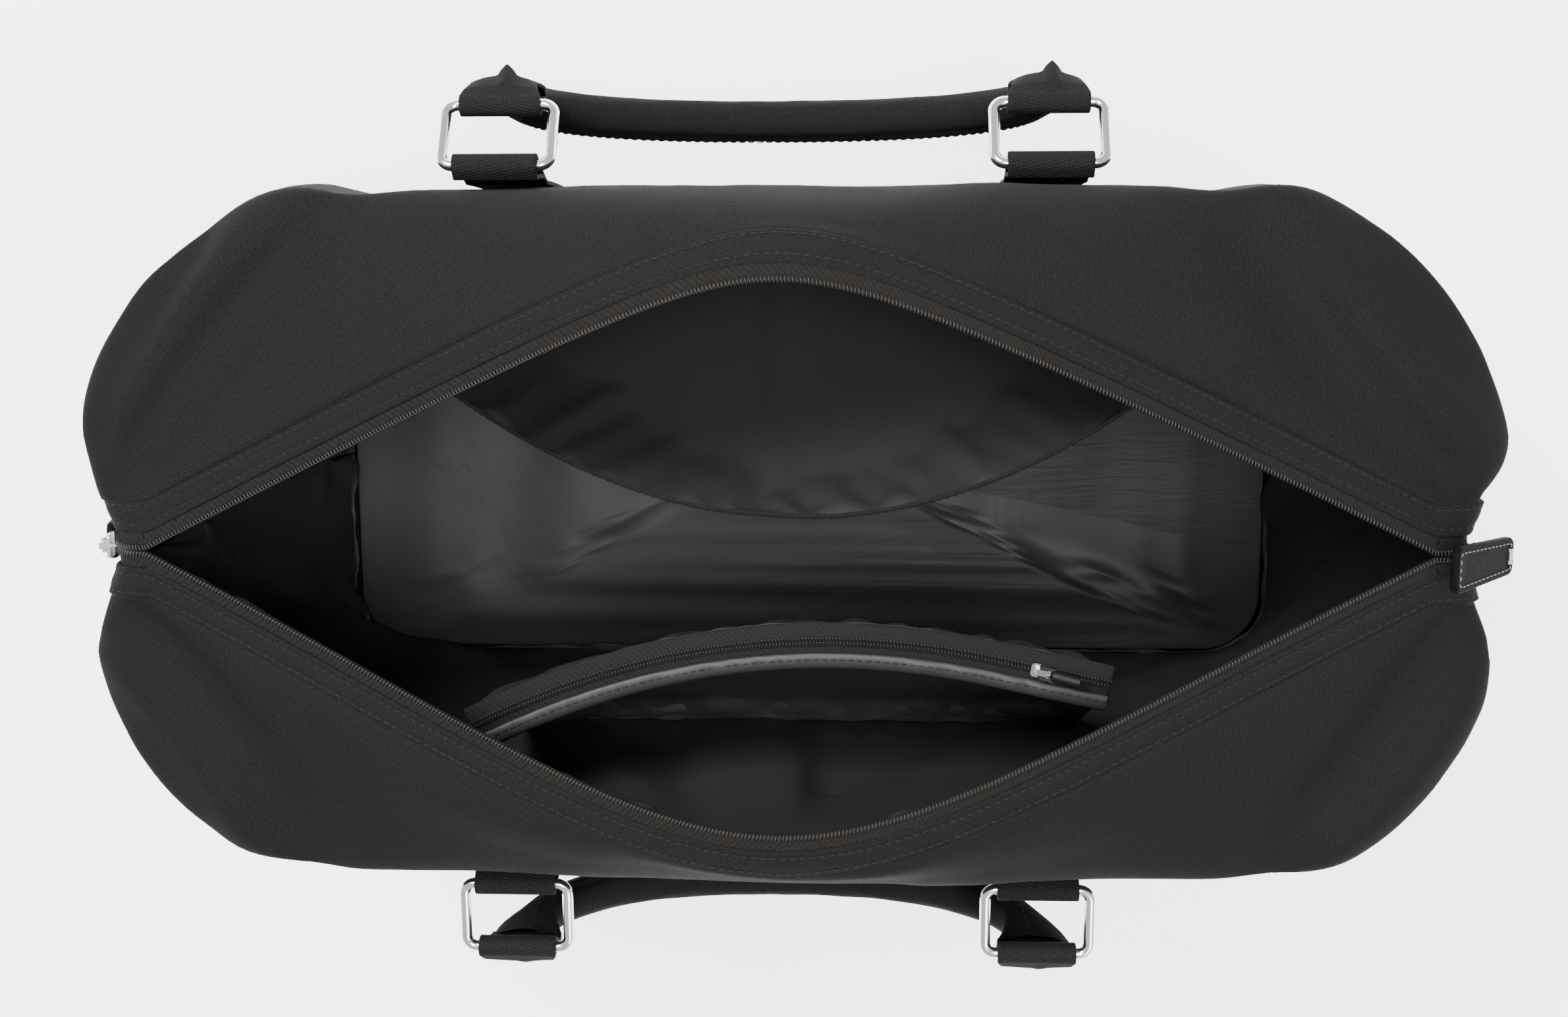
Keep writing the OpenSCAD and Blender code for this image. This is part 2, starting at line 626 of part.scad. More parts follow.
// a pipe between an outer and an inner set of rings
module tube(outer, inner) {
    rows = len(outer);
    n = len(outer[0]) - 1;
    function open(set) = [for (r = set) for (i = [0:n - 1]) r[i]];
    half = rows * n;
    function at(j, i) = j * n + i % n;
    polyhedron(
        points = concat(open(outer), open(inner)),
        faces = concat(
            [for (j = [0:rows - 2]) for (i = [0:n - 1]) [at(j, i), at(j + 1, i), at(j, i + 1)]],
            [for (j = [0:rows - 2]) for (i = [0:n - 1]) [at(j, i + 1), at(j + 1, i), at(j + 1, i + 1)]],
            [for (j = [0:rows - 2]) for (i = [0:n - 1])
                [half + at(j, i), half + at(j, i + 1), half + at(j + 1, i)]],
            [for (j = [0:rows - 2]) for (i = [0:n - 1])
                [half + at(j, i + 1), half + at(j + 1, i + 1), half + at(j + 1, i)]],
            [for (i = [0:n - 1]) [at(0, i), at(0, i + 1), half + at(0, i)]],
            [for (i = [0:n - 1]) [at(0, i + 1), half + at(0, i + 1), half + at(0, i)]],
            [for (i = [0:n - 1]) [at(rows - 1, i), half + at(rows - 1, i), at(rows - 1, i + 1)]],
            [for (i = [0:n - 1]) [at(rows - 1, i + 1), half + at(rows - 1, i), half + at(rows - 1, i + 1)]]
        )
    );
}
core_share = 0.8;
core_sides = 8;
function core_ring(t) =
    let (e = 0.004, c = grip_path(t), dir = unit(grip_path(t + e) - grip_path(t - e)), out = [0, 1, 0],
        side = unit(cross(out, dir)))
    [for (i = [0:core_sides - 1])
        let (a = 360 * i / core_sides) c + core_d / 2 * (side * cos(a) + out * sin(a))];
core_rows = 24;
function core_at(j, i) = j * core_sides + i % core_sides;
core_points = [for (j = [0:core_rows]) for (v = core_ring(core_share * (2 * j / core_rows - 1))) v];
module core(side)
    color("#8a8a86") mirror([0, side == "front" ? 1 : 0, 0]) translate([0, bar_y(side), bar_h(side)])
        polyhedron(
            points = core_points,
            faces = concat(
                [for (j = [0:core_rows - 1]) for (i = [0:core_sides - 1])
                    [core_at(j, i), core_at(j + 1, i), core_at(j, i + 1)]],
                [for (j = [0:core_rows - 1]) for (i = [0:core_sides - 1])
                    [core_at(j, i + 1), core_at(j + 1, i), core_at(j + 1, i + 1)]],
                [[for (i = [0:core_sides - 1]) i]],
                [[for (i = [core_sides - 1:-1:0]) core_rows * core_sides + i]]
            )
        );

panel("front", FRONT);  // front_panel
panel("rear", REAR);  // rear_panel
end_gusset("left");  // left_end_gusset
end_gusset("right");  // right_end_gusset
base_panel();
base_board();
facing("front", FRONT);  // front_zip_facing
facing("rear", REAR);  // rear_zip_facing
zip_tape("front", FRONT);  // front_zip_tape
zip_tape("rear", REAR);  // rear_zip_tape
zip_coil("front", FRONT);  // front_zip_coil
zip_coil("rear", REAR);  // rear_zip_coil
zip_stop("left");  // left_zip_stop
zip_stop("right");  // right_zip_stop
lining("front", FRONT);  // front_lining
lining("rear", REAR);  // rear_lining
base_lining();
slip_pocket();
slip_pocket_binding();
pocket_panel(1, "#1d1e20");  // zip_pocket_inner_panel
pocket_panel(-1, "#232427");  // zip_pocket_outer_panel
pocket_zip_tape();
pocket_zip_coil();
pocket_slider();
pocket_pull();
strap("front", "left");  // front_left_strap
strap("front", "right");  // front_right_strap
strap("rear", "left");  // rear_left_strap
strap("rear", "right");  // rear_right_strap
ring("front", "left");  // front_left_ring
ring("front", "right");  // front_right_ring
ring("rear", "left");  // rear_left_ring
ring("rear", "right");  // rear_right_ring
grip("front");  // front_handle_grip
grip("rear");  // rear_handle_grip
core("front");  // front_handle_core
core("rear");  // rear_handle_core
handle_tab("front", "left");  // front_handle_left_tab
handle_tab("front", "right");  // front_handle_right_tab
handle_tab("rear", "left");  // rear_handle_left_tab
handle_tab("rear", "right");  // rear_handle_right_tab
slider("left", left_slider_angle);  // left_slider
slider("right", right_slider_angle);  // right_slider
pull_link("left", left_slider_angle, hang_angle);  // left_pull_link
pull_link("right", right_slider_angle, link_angle);  // right_pull_link
pull_tab("left", left_slider_angle, hang_angle, hang_angle);  // left_pull_tab
pull_tab("right", right_slider_angle, link_angle, stand_angle);  // right_pull_tab
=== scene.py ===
import json
import math

import bpy
import numpy as np
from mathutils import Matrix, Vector, noise

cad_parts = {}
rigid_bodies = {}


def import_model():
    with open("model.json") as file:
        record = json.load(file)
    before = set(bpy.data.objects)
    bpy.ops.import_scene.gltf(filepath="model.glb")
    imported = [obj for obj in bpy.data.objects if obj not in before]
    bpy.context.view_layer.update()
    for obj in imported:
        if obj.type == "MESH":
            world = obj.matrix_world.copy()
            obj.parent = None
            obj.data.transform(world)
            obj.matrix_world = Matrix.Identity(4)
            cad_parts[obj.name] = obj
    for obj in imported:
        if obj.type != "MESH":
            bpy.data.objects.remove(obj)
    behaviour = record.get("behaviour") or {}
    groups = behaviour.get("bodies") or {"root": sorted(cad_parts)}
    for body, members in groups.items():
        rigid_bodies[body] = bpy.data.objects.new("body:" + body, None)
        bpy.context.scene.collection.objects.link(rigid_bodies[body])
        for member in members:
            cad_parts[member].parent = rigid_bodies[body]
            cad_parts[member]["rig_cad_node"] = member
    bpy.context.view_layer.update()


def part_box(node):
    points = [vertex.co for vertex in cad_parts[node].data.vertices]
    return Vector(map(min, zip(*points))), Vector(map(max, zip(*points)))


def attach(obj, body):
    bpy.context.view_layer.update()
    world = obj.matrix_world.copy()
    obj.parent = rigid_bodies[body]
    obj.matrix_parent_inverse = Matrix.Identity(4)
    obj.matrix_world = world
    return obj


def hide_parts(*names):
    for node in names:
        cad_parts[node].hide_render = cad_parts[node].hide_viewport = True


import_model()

MM = 0.001

# -------------------------------------- sizes, in mm
panel_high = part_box("rear_panel")[1]
# half length, half depth, height and corner radius of the shoulder
BAG_HALF_L, BAG_HALF_D = panel_high.x / MM, panel_high.y / MM
SHOULDER_H, SHOULDER_R = 240.0, 100.0
# half length, half depth and corner radius of the base, and the turn from base to wall
BASE_HALF_L, BASE_HALF_D, BASE_R, EDGE_R = 225.0, 102.0, 36.0, 12.0
# where the mouth's ends are along X, the top of its rim, and where the zip stops on the end walls
APEX_X, RIM_H, ZIP_END_H = 230.0, 285.0, 176.0
# how deep and how wide the ends are drawn in at the zip
NOTCH, NOTCH_W = 12.0, 24.0
# the turn from roof to end wall
ARC_R = BAG_HALF_L - NOTCH - APEX_X
APEX_H = SHOULDER_H + ARC_R
# half opening of the mouth on each side, and how round its middle is
LENS = {"front": (94.0, 0.28), "rear": (98.0, 0.18)}
# wall() is written for the front, so the rear takes the other sign
SIGN = {"front": 1.0, "rear": -1.0}
# half width of the end gussets, and the height over which they narrow to the zip
GUSSET_HALF, GUSSET_TAPER, TAPER_SHARE = 55.0, 60.0, 0.25
TAPER_LOW = ZIP_END_H - GUSSET_TAPER
# distances from the mouth's edge: tape, facing, panel and lining
TAPE_OUT = 6.6
FACING_IN, FACING_OUT = 6.2, 17.9
PANEL_IN = 17.2
LINING_OFF, LINING_EDGE, LINING_CLOSE = 4.4, 6.6, 20.0
# share of a panel's columns that lie along the mouth
MOUTH_SHARE = 0.94
# outward direction of each side along Y
MIRROR = {"front": -1.0, "rear": 1.0}


def smooth(t):
    t = min(1.0, max(0.0, t))
    return t * t * (3 - 2 * t)


# -------------------------------------- the bag's surface, as in the CAD source
def bulge(z):
    """How far the walls have swelled from base to shoulder, 0 to 1."""
    return math.sin(math.pi / 2 * min(1.0, z / SHOULDER_H))


def half_l(z):
    return BASE_HALF_L + (BAG_HALF_L - BASE_HALF_L) * bulge(z)


def half_d(z):
    return BASE_HALF_D + (BAG_HALF_D - BASE_HALF_D) * bulge(z)


def corner(z):
    """Corner radius of the bag at a height."""
    return BASE_R + (SHOULDER_R - BASE_R) * bulge(z) ** 3


def quarter(z):
    """Length round a quarter of the bag, from the middle of a side to the middle of an end."""
    return half_d(z) + half_l(z) - 2 * corner(z) + math.pi / 2 * corner(z)


def draw_in(y, z):
    """How far the ends are drawn in at the zip."""
    return NOTCH * min(1.0, z / SHOULDER_H) * math.exp(-((y / NOTCH_W) ** 2))


def wall(p, z, off):
    """Point on the front wall; p runs from -1 at the left end to 1 at the right end."""
    a, b, r = half_l(z), half_d(z), corner(z)
    l3, l2 = a - r, math.pi / 2 * r
    d, s = abs(p) * (b - r + l2 + l3), math.copysign(1, p)
    if d < l3:
        x, y = s * d, -(b - off)
    elif d < l3 + l2:
        t = (d - l3) / r
        x, y = s * (a - r + (r - off) * math.sin(t)), -(b - r + (r - off) * math.cos(t))
    else:
        x, y = s * (a - off), -(b - r + l2 + l3 - d)
    return x - math.copysign(draw_in(y, z), x), y, z


def panel_slot(z, least):
    """Half width left open at the ends for the zip and the gusset."""
    if z >= ZIP_END_H:
        return least
    if z > TAPER_LOW:
        return least + (GUSSET_HALF - least) * ((ZIP_END_H - z) / GUSSET_TAPER) ** TAPER_SHARE
    return GUSSET_HALF


def lining_slot(z, least):
    """Half width left open at the ends of the lining, which closes below the zip."""
    return 0.2 + (least - 0.2) * max(0.0, 1 - max(0.0, ZIP_END_H - z) / LINING_CLOSE)


def row_point(s, row, off, slot):
    """Point on a wall row; a row is a height and a turn under the base's edge."""
    z, turn = row
    inset = off if turn == 0 else EDGE_R - (EDGE_R - off) * math.cos(turn)
    height = z if turn == 0 else EDGE_R - (EDGE_R - off) * math.sin(turn)
    x, y, _ = wall(s * (1 - slot / quarter(z)), z, inset)
    return x, y, height


def lens(x, m):
    """Half width of the mouth at x."""
    u, k = min(1.0, abs(x) / APEX_X), m[1]
    top = math.sqrt(1 + k * k)
    return m[0] * (top - math.sqrt(u * u + k * k)) / (top - k)


def rim_z(x):
    """Height of the mouth's edge at x."""
    return APEX_H + (RIM_H - APEX_H) * math.cos(math.pi / 2 * min(1.0, abs(x) / APEX_X)) ** 2


def inside(x, y, off):
    """Distance from the shoulder's outline, seen from above."""
    r = SHOULDER_R - off
    dx, dy = abs(x) - BAG_HALF_L + SHOULDER_R, abs(y) - BAG_HALF_D + SHOULDER_R
    round_in = r - math.hypot(max(dx, 0), max(dy, 0)) - min(max(dx, dy), 0)
    end_in = BAG_HALF_L - off - draw_in(y, SHOULDER_H) - abs(x)
    return max(0.0, min(round_in, end_in))


def roof_z(x, y, off, m):
    """Height of the roof, which falls from the rim to the shoulder as a quarter ellipse."""
    if abs(x) <= APEX_X:
        dr = max(0.0, abs(y) - lens(x, m))
    else:
        dr = math.hypot(abs(x) - APEX_X, y)
    q = dr / max(0.001, dr + inside(x, y, off))
    return SHOULDER_H + (rim_z(x) - off - SHOULDER_H) * math.sqrt(max(0.0, 1 - q * q))


def mouth_edge(s, d, off, m):
    """Point at distance d from the mouth's edge, seen from above."""
    if abs(s) <= MOUTH_SHARE:
        x = s / MOUTH_SHARE * APEX_X
        return x, -(lens(x, m) + d)
    reach = BAG_HALF_L - draw_in(d, SHOULDER_H) - off - 0.3 - APEX_X
    arc = math.sin(math.pi / 2 * (abs(s) - MOUTH_SHARE) / (1 - MOUTH_SHARE))
    return math.copysign(APEX_X + reach * arc, s), -d


def roof_point(s, h, d, off, m):
    """Point on the roof; h runs from 0 at the mouth to 1 at the shoulder."""
    ex, ey = mouth_edge(s, d, off, m)
    o = row_point(s, (SHOULDER_H, 0), off, d)
    if h >= 1:
        return o
    k = math.sin(math.pi / 2 * h)
    x, y = ex + (o[0] - ex) * k, ey + (o[1] - ey) * k
    return x, y, roof_z(x, y, off, m)


def columns(n):
    """Columns along a panel, closer together at its ends."""
    return [math.sin(math.pi / 2 * (2 * i / n - 1)) for i in range(n + 1)]


def wall_rows(last_turn):
    """Rows from the shoulder down the wall and round the base's edge."""
    near_zip = [(ZIP_END_H - z, 0) for z in (0.3, 1, 2.5, 5, 9, 14, 21, 30, 42, 54)]
    down = [(TAPER_LOW + (EDGE_R - TAPER_LOW) * i / 14, 0) for i in range(0, 15)]
    over = [(SHOULDER_H + (ZIP_END_H - SHOULDER_H) * i / 9, 0) for i in range(1, 10)]
    return over + near_zip + down + [(EDGE_R, last_turn * i / 6) for i in range(1, 7)]


def panel_grid(side, d, off, n, roof_rows, slot, last_turn):
    """Grid of points over a whole side, from the mouth to the base."""
    m = LENS[side]
    rows = [[roof_point(s, j / roof_rows, d, off, m) for s in columns(n)] for j in range(roof_rows + 1)]
    rows += [[row_point(s, row, off, slot(row[0], d)) for s in columns(n)] for row in wall_rows(last_turn)]
    grid = np.array(rows, float)
    grid[..., 1] *= SIGN[side]
    return grid


def rail(side, d, off, n=170):
    """Line beside the zip at distance d, from stop to stop."""
    m = LENS[side]
    steps = [ZIP_END_H + (SHOULDER_H - ZIP_END_H) * i / 14 for i in range(15)]
    left = [row_point(-1, (z, 0), off, d) for z in steps]
    right = [row_point(1, (z, 0), off, d) for z in reversed(steps)]
    middle = []
    for s in columns(n):
        x, y = mouth_edge(s, d, off, m)
        middle.append((x, y, roof_z(x, y, off, m)))
    line = np.array(left + middle + right, float)
    line[:, 1] *= SIGN[side]
    return line


# -------------------------------------- grids and meshes
def unit(v):
    return v / np.maximum(np.linalg.norm(v, axis=-1, keepdims=True), 1e-9)


def normals(grid):
    du, dv = np.gradient(grid, axis=1), np.gradient(grid, axis=0)
    return unit(np.cross(du, dv))


def outward(grid, centre):
    """Normals of a grid, turned away from a centre."""
    n = normals(grid)
    flip = np.sign(np.sum((grid - centre) * n))
    return n * flip


def resample(line, step, *extra):
    """A line and its companions at even steps along it."""
    seg = np.linalg.norm(np.diff(line, axis=0), axis=1)
    arc = np.concatenate([[0], np.cumsum(seg)])
    count = max(2, int(round(arc[-1] / step)) + 1)
    at = np.linspace(0, arc[-1], count)
    return [np.stack([np.interp(at, arc, a[:, k]) for k in range(3)], 1) for a in (line,) + extra]


def lay_uv(mesh, uv_rows):
    """UV along the cloth's own threads, in metres."""
    layer = mesh.uv_layers.new(name="cloth")
    flat = uv_rows.reshape(-1, 2)
    loops = np.zeros(len(mesh.loops), int)
    mesh.loops.foreach_get("vertex_index", loops)
    layer.data.foreach_set("uv", flat[loops].ravel())


def new_object(name, mesh, material):
    obj = bpy.data.objects.new(name, mesh)
    bpy.context.scene.collection.objects.link(obj)
    if material is not None:
        mesh.materials.append(material)
    return obj


def tube_faces(rows, n):
    """Quads round rows of n points, closed round each row."""
    return [(j * n + i, j * n + (i + 1) % n, (j + 1) * n + (i + 1) % n, (j + 1) * n + i)
            for j in range(rows - 1) for i in range(n)]


def grid_object(name, grid, material, closed=False, thick=0.0, flip=False, subdivide=0):
    """Mesh from rows of points in mm, with thickness and rounding if asked."""
    rows, n = grid.shape[:2]
    across = n if closed else n - 1
    faces = []
    for j in range(rows - 1):
        for i in range(across):
            a, b = j * n + i, j * n + (i + 1) % n
            face = (a, b, b + n, a + n)
            faces.append(face[::-1] if flip else face)
    mesh = bpy.data.meshes.new(name)
    mesh.from_pydata((grid.reshape(-1, 3) * MM).tolist(), [], faces)
    mesh.shade_smooth()
    steps_u, steps_v = (np.linalg.norm(np.diff(grid, axis=k), axis=2) for k in (1, 0))
    u = np.cumsum(np.concatenate([np.zeros((rows, 1)), steps_u], 1), 1)
    v = np.cumsum(np.concatenate([np.zeros((1, n)), steps_v], 0), 0)
    u = u - u[:, n // 2 : n // 2 + 1]
    lay_uv(mesh, np.stack([u, v], 2) * MM)
    obj = new_object(name, mesh, material)
    if thick:
        mod = obj.modifiers.new("thickness", "SOLIDIFY")
        mod.thickness = thick * MM
        mod.offset = 0
    if subdivide:
        mod = obj.modifiers.new("round", "SUBSURF")
        mod.levels = mod.render_levels = subdivide
    return obj


def soften_edges(obj, width, limit=None):
    """A small bevel, of a width in mm."""
    mod = obj.modifiers.new("edge", "BEVEL")
    mod.width, mod.segments = width * MM, 2
    if limit:
        mod.limit_method = limit


def place(obj, body, replaced=()):
    """Ride a body and stand for CAD nodes, which are hidden."""
    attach(obj, body)
    if replaced:
        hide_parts(*replaced)
    return obj


DISC_TURN_IN = 0.004


def flat_size(grid, disc=False):
    """Width, length and area of a cut of cloth, in metres, from its shaped grid."""
    if disc:
        grid = np.concatenate([grid, grid[:, :1]], 1)
    a = np.cross(grid[:-1, 1:] - grid[:-1, :-1], grid[1:, :-1] - grid[:-1, :-1])
    b = np.cross(grid[1:, :-1] - grid[1:, 1:], grid[:-1, 1:] - grid[1:, 1:])
    area = 0.5 * (np.linalg.norm(a, axis=2).sum() + np.linalg.norm(b, axis=2).sum()) * MM * MM
    w = np.linalg.norm(np.diff(grid, axis=1), axis=2).sum(1).max() * MM
    h = np.linalg.norm(np.diff(grid, axis=0), axis=2).sum(0).max() * MM
    if disc:
        w, h = np.ptp(grid[..., 0]) * MM + DISC_TURN_IN, np.ptp(grid[..., 1]) * MM + DISC_TURN_IN
    return (round(w, 3), round(h, 3)), area


def as_sheet(grid, disc=False):
    """Measure a sheet of cloth's flat size and area; the result is not kept."""
    flat, area = flat_size(grid, disc)
    area = min(area, 0.999 * flat[0] * flat[1])


def tube(path, radius, sides):
    """Rings of points round a path."""
    t = unit(np.gradient(path, axis=0))
    a = unit(np.cross(np.broadcast_to([0, 0, 1.0], t.shape), t))
    b = np.cross(t, a)
    turns = [2 * math.pi * i / sides for i in range(sides)]
    return np.stack([path + a * radius * math.cos(g) + b * radius * math.sin(g) for g in turns], 1)


def joined(name, parts, material):
    """One mesh from many (vertices, faces) pieces, in mm."""
    verts, faces, base = [], [], 0
    for v, f in parts:
        verts.append(v)
        faces += [tuple(base + k for k in face) for face in f]
        base += len(v)
    mesh = bpy.data.meshes.new(name)
    mesh.from_pydata((np.concatenate(verts) * MM).tolist(), [], faces)
    mesh.shade_smooth()
    return new_object(name, mesh, material)


# a stitch's rings: share of its length, share of its radius, and how deep it dips in radii
STITCH_RINGS = ((0.0, 0.35, 0.8), (0.16, 0.9, 0.15), (0.5, 1.0, 0.0), (0.84, 0.9, 0.15), (1.0, 0.35, 0.8))


def stitch_row(points, normal, length, gap, radius, lift):
    """Thread stitches along a line, as small rounded bars; normal is one direction or one per point."""
    step = 0.2
    p, n = resample(points, step, np.broadcast_to(np.asarray(normal, float), points.shape))
    t = unit(np.gradient(p, axis=0))
    b = unit(np.cross(n, t))
    parts, i = [], 0
    run, skip = int(length / step), int((length + gap) / step)
    sides = 6
    while i + run < len(p):
        rings = []
        for share, swell, drop in STITCH_RINGS:
            k = i + int(run * share)
            c = p[k] + n[k] * (lift - drop * radius)
            rings += [c + radius * swell * (math.cos(g) * b[k] + math.sin(g) * n[k])
                      for g in (2 * math.pi * q / sides for q in range(sides))]
        last = (len(STITCH_RINGS) - 1) * sides
        faces = tube_faces(len(STITCH_RINGS), sides)
        faces += [tuple(range(sides))[::-1], tuple(range(last, last + sides))]
        parts.append((np.array(rings), faces))
        i += skip
    return parts


# -------------------------------------- materials
def shader(name, color, rough, metallic=0.0, spec=0.5):
    mat = bpy.data.materials.new(name)
    mat.use_nodes = True
    bsdf = mat.node_tree.nodes["Principled BSDF"]
    bsdf.inputs["Base Color"].default_value = (*color, 1)
    bsdf.inputs["Roughness"].default_value = rough
    bsdf.inputs["Metallic"].default_value = metallic
    bsdf.inputs["Specular IOR Level"].default_value = spec
    return mat


def node(mat, kind, **values):
    n = mat.node_tree.nodes.new(kind)
    for key, value in values.items():
        setattr(n, key, value)
    return n


def link(mat, a, b):
    mat.node_tree.links.new(a, b)


def maths(mat, op, a, b=None):
    n = node(mat, "ShaderNodeMath", operation=op)
    for socket, value in zip(n.inputs, (a, b)):
        if value is None:
            continue
        if isinstance(value, (int, float)):
            socket.default_value = value
        else:
            link(mat, value, socket)
    return n.outputs[0]


def mix_color(mat, factor, a, b):
    n = node(mat, "ShaderNodeMix", data_type="RGBA")
    link(mat, factor, n.inputs["Factor"])
    n.inputs["A"].default_value = (*a, 1)
    n.inputs["B"].default_value = (*b, 1)
    return n.outputs["Result"]


def texture_noise(mat, where, scale, detail=None, distortion=None):
    """Noise over a vector output, as a number."""
    n = node(mat, "ShaderNodeTexNoise")
    n.inputs["Scale"].default_value = scale
    if detail is not None:
        n.inputs["Detail"].default_value = detail
    if distortion is not None:
        n.inputs["Distortion"].default_value = distortion
    link(mat, where, n.inputs["Vector"])
    return n.outputs["Fac"]


def add_bump(mat, height, strength, distance):
    """Bump of a distance in mm from a height output."""
    bump = node(mat, "ShaderNodeBump")
    bump.inputs["Strength"].default_value = strength
    bump.inputs["Distance"].default_value = distance * MM
    link(mat, height, bump.inputs["Height"])
    link(mat, bump.outputs["Normal"], mat.node_tree.nodes["Principled BSDF"].inputs["Normal"])


def woven(name, dark, light, rough, pitch, depth, turn=0.0, specks=0.0, crease=0.0, twill=0.0, spec=0.05):
    """A woven cloth: threads over and under in two directions, with slubs and light specks.

    pitch is the pair of thread repeats and depth the height of the threads, in mm; specks is how bright
    the specks are, crease how high the creases are against the threads, and twill slants the weave."""
    mat = shader(name, dark, rough, spec=spec)
    uv = node(mat, "ShaderNodeUVMap", uv_map="cloth").outputs["UV"]
    turned = node(mat, "ShaderNodeMapping")
    turned.inputs["Rotation"].default_value[2] = turn
    link(mat, uv, turned.inputs["Vector"])
    split = node(mat, "ShaderNodeSeparateXYZ")
    link(mat, turned.outputs["Vector"], split.inputs["Vector"])
    drift = maths(mat, "MULTIPLY", texture_noise(mat, uv, 60.0), 0.9)
    u, v = (maths(mat, "ADD", maths(mat, "MULTIPLY", split.outputs[axis], 2 * math.pi / (repeat * MM)), drift)
            for axis, repeat in zip("XY", pitch))
    if twill:
        v = maths(mat, "ADD", v, maths(mat, "MULTIPLY", u, twill))
    cross = maths(mat, "MULTIPLY", maths(mat, "SINE", u), maths(mat, "SINE", v))
    weave = maths(mat, "ADD", maths(mat, "MULTIPLY", cross, 0.5), 0.5)
    slubs = maths(mat, "MULTIPLY", texture_noise(mat, uv, 900.0, 2.0), 0.6)
    tone = maths(mat, "ADD", maths(mat, "MULTIPLY", weave, 0.55), slubs)
    if specks:
        bright = maths(mat, "GREATER_THAN", texture_noise(mat, uv, 1500.0, 1.0), 0.71)
        tone = maths(mat, "ADD", tone, maths(mat, "MULTIPLY", bright, specks))
    link(mat, mix_color(mat, tone, dark, light), mat.node_tree.nodes["Principled BSDF"].inputs["Base Color"])
    height = weave
    if crease:
        creases = texture_noise(mat, uv, 22.0, 5.0, 1.2)
        height = maths(mat, "ADD", weave, maths(mat, "MULTIPLY", creases, crease))
    add_bump(mat, height, 0.6, depth)
    return mat


def grained(name, color, rough, scale, depth, spec=0.5):
    """Leather grain: fine bumps and uneven wear."""
    mat = shader(name, color, rough, spec=spec)
    grain = texture_noise(mat, node(mat, "ShaderNodeTexCoord").outputs["Object"], scale, 4.0)
    add_bump(mat, grain, 0.5, depth)
    wear = node(mat, "ShaderNodeMapRange")
    wear.inputs["To Min"].default_value = rough * 0.8
    wear.inputs["To Max"].default_value = min(1.0, rough * 1.3)
    link(mat, grain, wear.inputs["Value"])
    link(mat, wear.outputs["Result"], mat.node_tree.nodes["Principled BSDF"].inputs["Roughness"])
    return mat


DIAGONAL = math.radians(45)
CHARCOAL = (0.0006, 0.0007, 0.0008), (0.0125, 0.0133, 0.0143)
outer_cloth = woven("outer_cloth", *CHARCOAL, 0.75, (1.5, 1.1), 0.3, DIAGONAL, specks=0.7)
facing_cloth = woven("facing_cloth", *CHARCOAL, 0.75, (1.1, 1.4), 0.3, specks=0.45)
gusset_cloth = woven("gusset_cloth", *CHARCOAL, 0.78, (1.5, 1.1), 0.3, specks=0.4)
tape_cloth = woven("tape_cloth", (0.003, 0.0027, 0.0025), (0.0155, 0.014, 0.0128),
                   0.8, (1.0, 1.6), 0.15, DIAGONAL, twill=1.0)
pocket_tape = woven("pocket_tape", (0.0045, 0.0043, 0.0042), (0.019, 0.0182, 0.0176),
                    0.8, (1.0, 1.6), 0.15, DIAGONAL, twill=1.0)
webbing = woven("webbing", (0.0008, 0.0009, 0.0011), (0.015, 0.0155, 0.017),
                0.72, (1.9, 1.2), 0.45, DIAGONAL, specks=0.3)
satin = woven("satin", (0.012, 0.0124, 0.0132), (0.032, 0.033, 0.035),
              0.5, (0.5, 0.5), 0.03, crease=22.0, spec=0.3)
binding_cloth = woven("binding_cloth", (0.003, 0.003, 0.0034), (0.014, 0.014, 0.015),
                      0.7, (1.0, 1.0), 0.2, DIAGONAL)
coil_nylon = shader("coil_nylon", (0.018, 0.0165, 0.015), 0.42, spec=0.3)
thread = shader("thread", (0.012, 0.0125, 0.0125), 0.65, spec=0.1)
pocket_thread = shader("pocket_thread", (0.018, 0.018, 0.02), 0.6, spec=0.1)
ivory_thread = shader("ivory_thread", (0.16, 0.145, 0.11), 0.7, spec=0.1)
chrome = shader("chrome", (0.86, 0.86, 0.87), 0.16, metallic=1.0)
leather = grained("leather", (0.0022, 0.0022, 0.0026), 0.6, 900.0, 0.12, 0.05)
cord_sleeve = grained("cord_sleeve", (0.006, 0.006, 0.0065), 0.5, 700.0, 0.08, 0.2)


# -------------------------------------- outer panels, with the folds of slack cloth
def rough_noise(x, y, z, scale, seed):
    """Smooth noise between about -0.5 and 0.5; scale is in mm."""
    return noise.noise(Vector((x / scale + seed, y / scale - seed, z / scale)))


# fold valleys and ridges over the shoulder of each side: start, end, height and width, in mm
FOLDS = {
    "rear": [
        ((-150, 126), (-236, 26), -3.6, 9.0), ((-168, 128), (-244, 44), 2.4, 12.0),
        ((-203, 116), (-250, 30), -1.8, 8.0), ((150, 128), (242, 16), -3.2, 10.0),
        ((176, 126), (248, 34), 2.2, 12.0), ((60, 128), (170, 60), 1.2, 22.0),
    ],
    "front": [
        ((-170, -126), (-238, -26), -2.4, 10.0), ((-196, -116), (-246, -40), 1.8, 11.0),
        ((168, -126), (240, -24), -2.6, 10.0), ((190, -120), (248, -44), 1.8, 11.0),
        ((-60, -126), (-150, -80), 1.0, 20.0), ((40, -127), (120, -100), 1.0, 18.0),
    ],
}
FOLD_GAIN = 2.3
# how far the middle is tucked in below the shoulder, and how deep the cloth may sink towards the lining
SHOULDER_TUCK = {"front": 5.0, "rear": 0.0}
DEEPEST = {"front": -3.2, "rear": -1.2}
PANEL_SEED = {"front": 3.1, "rear": 11.7}


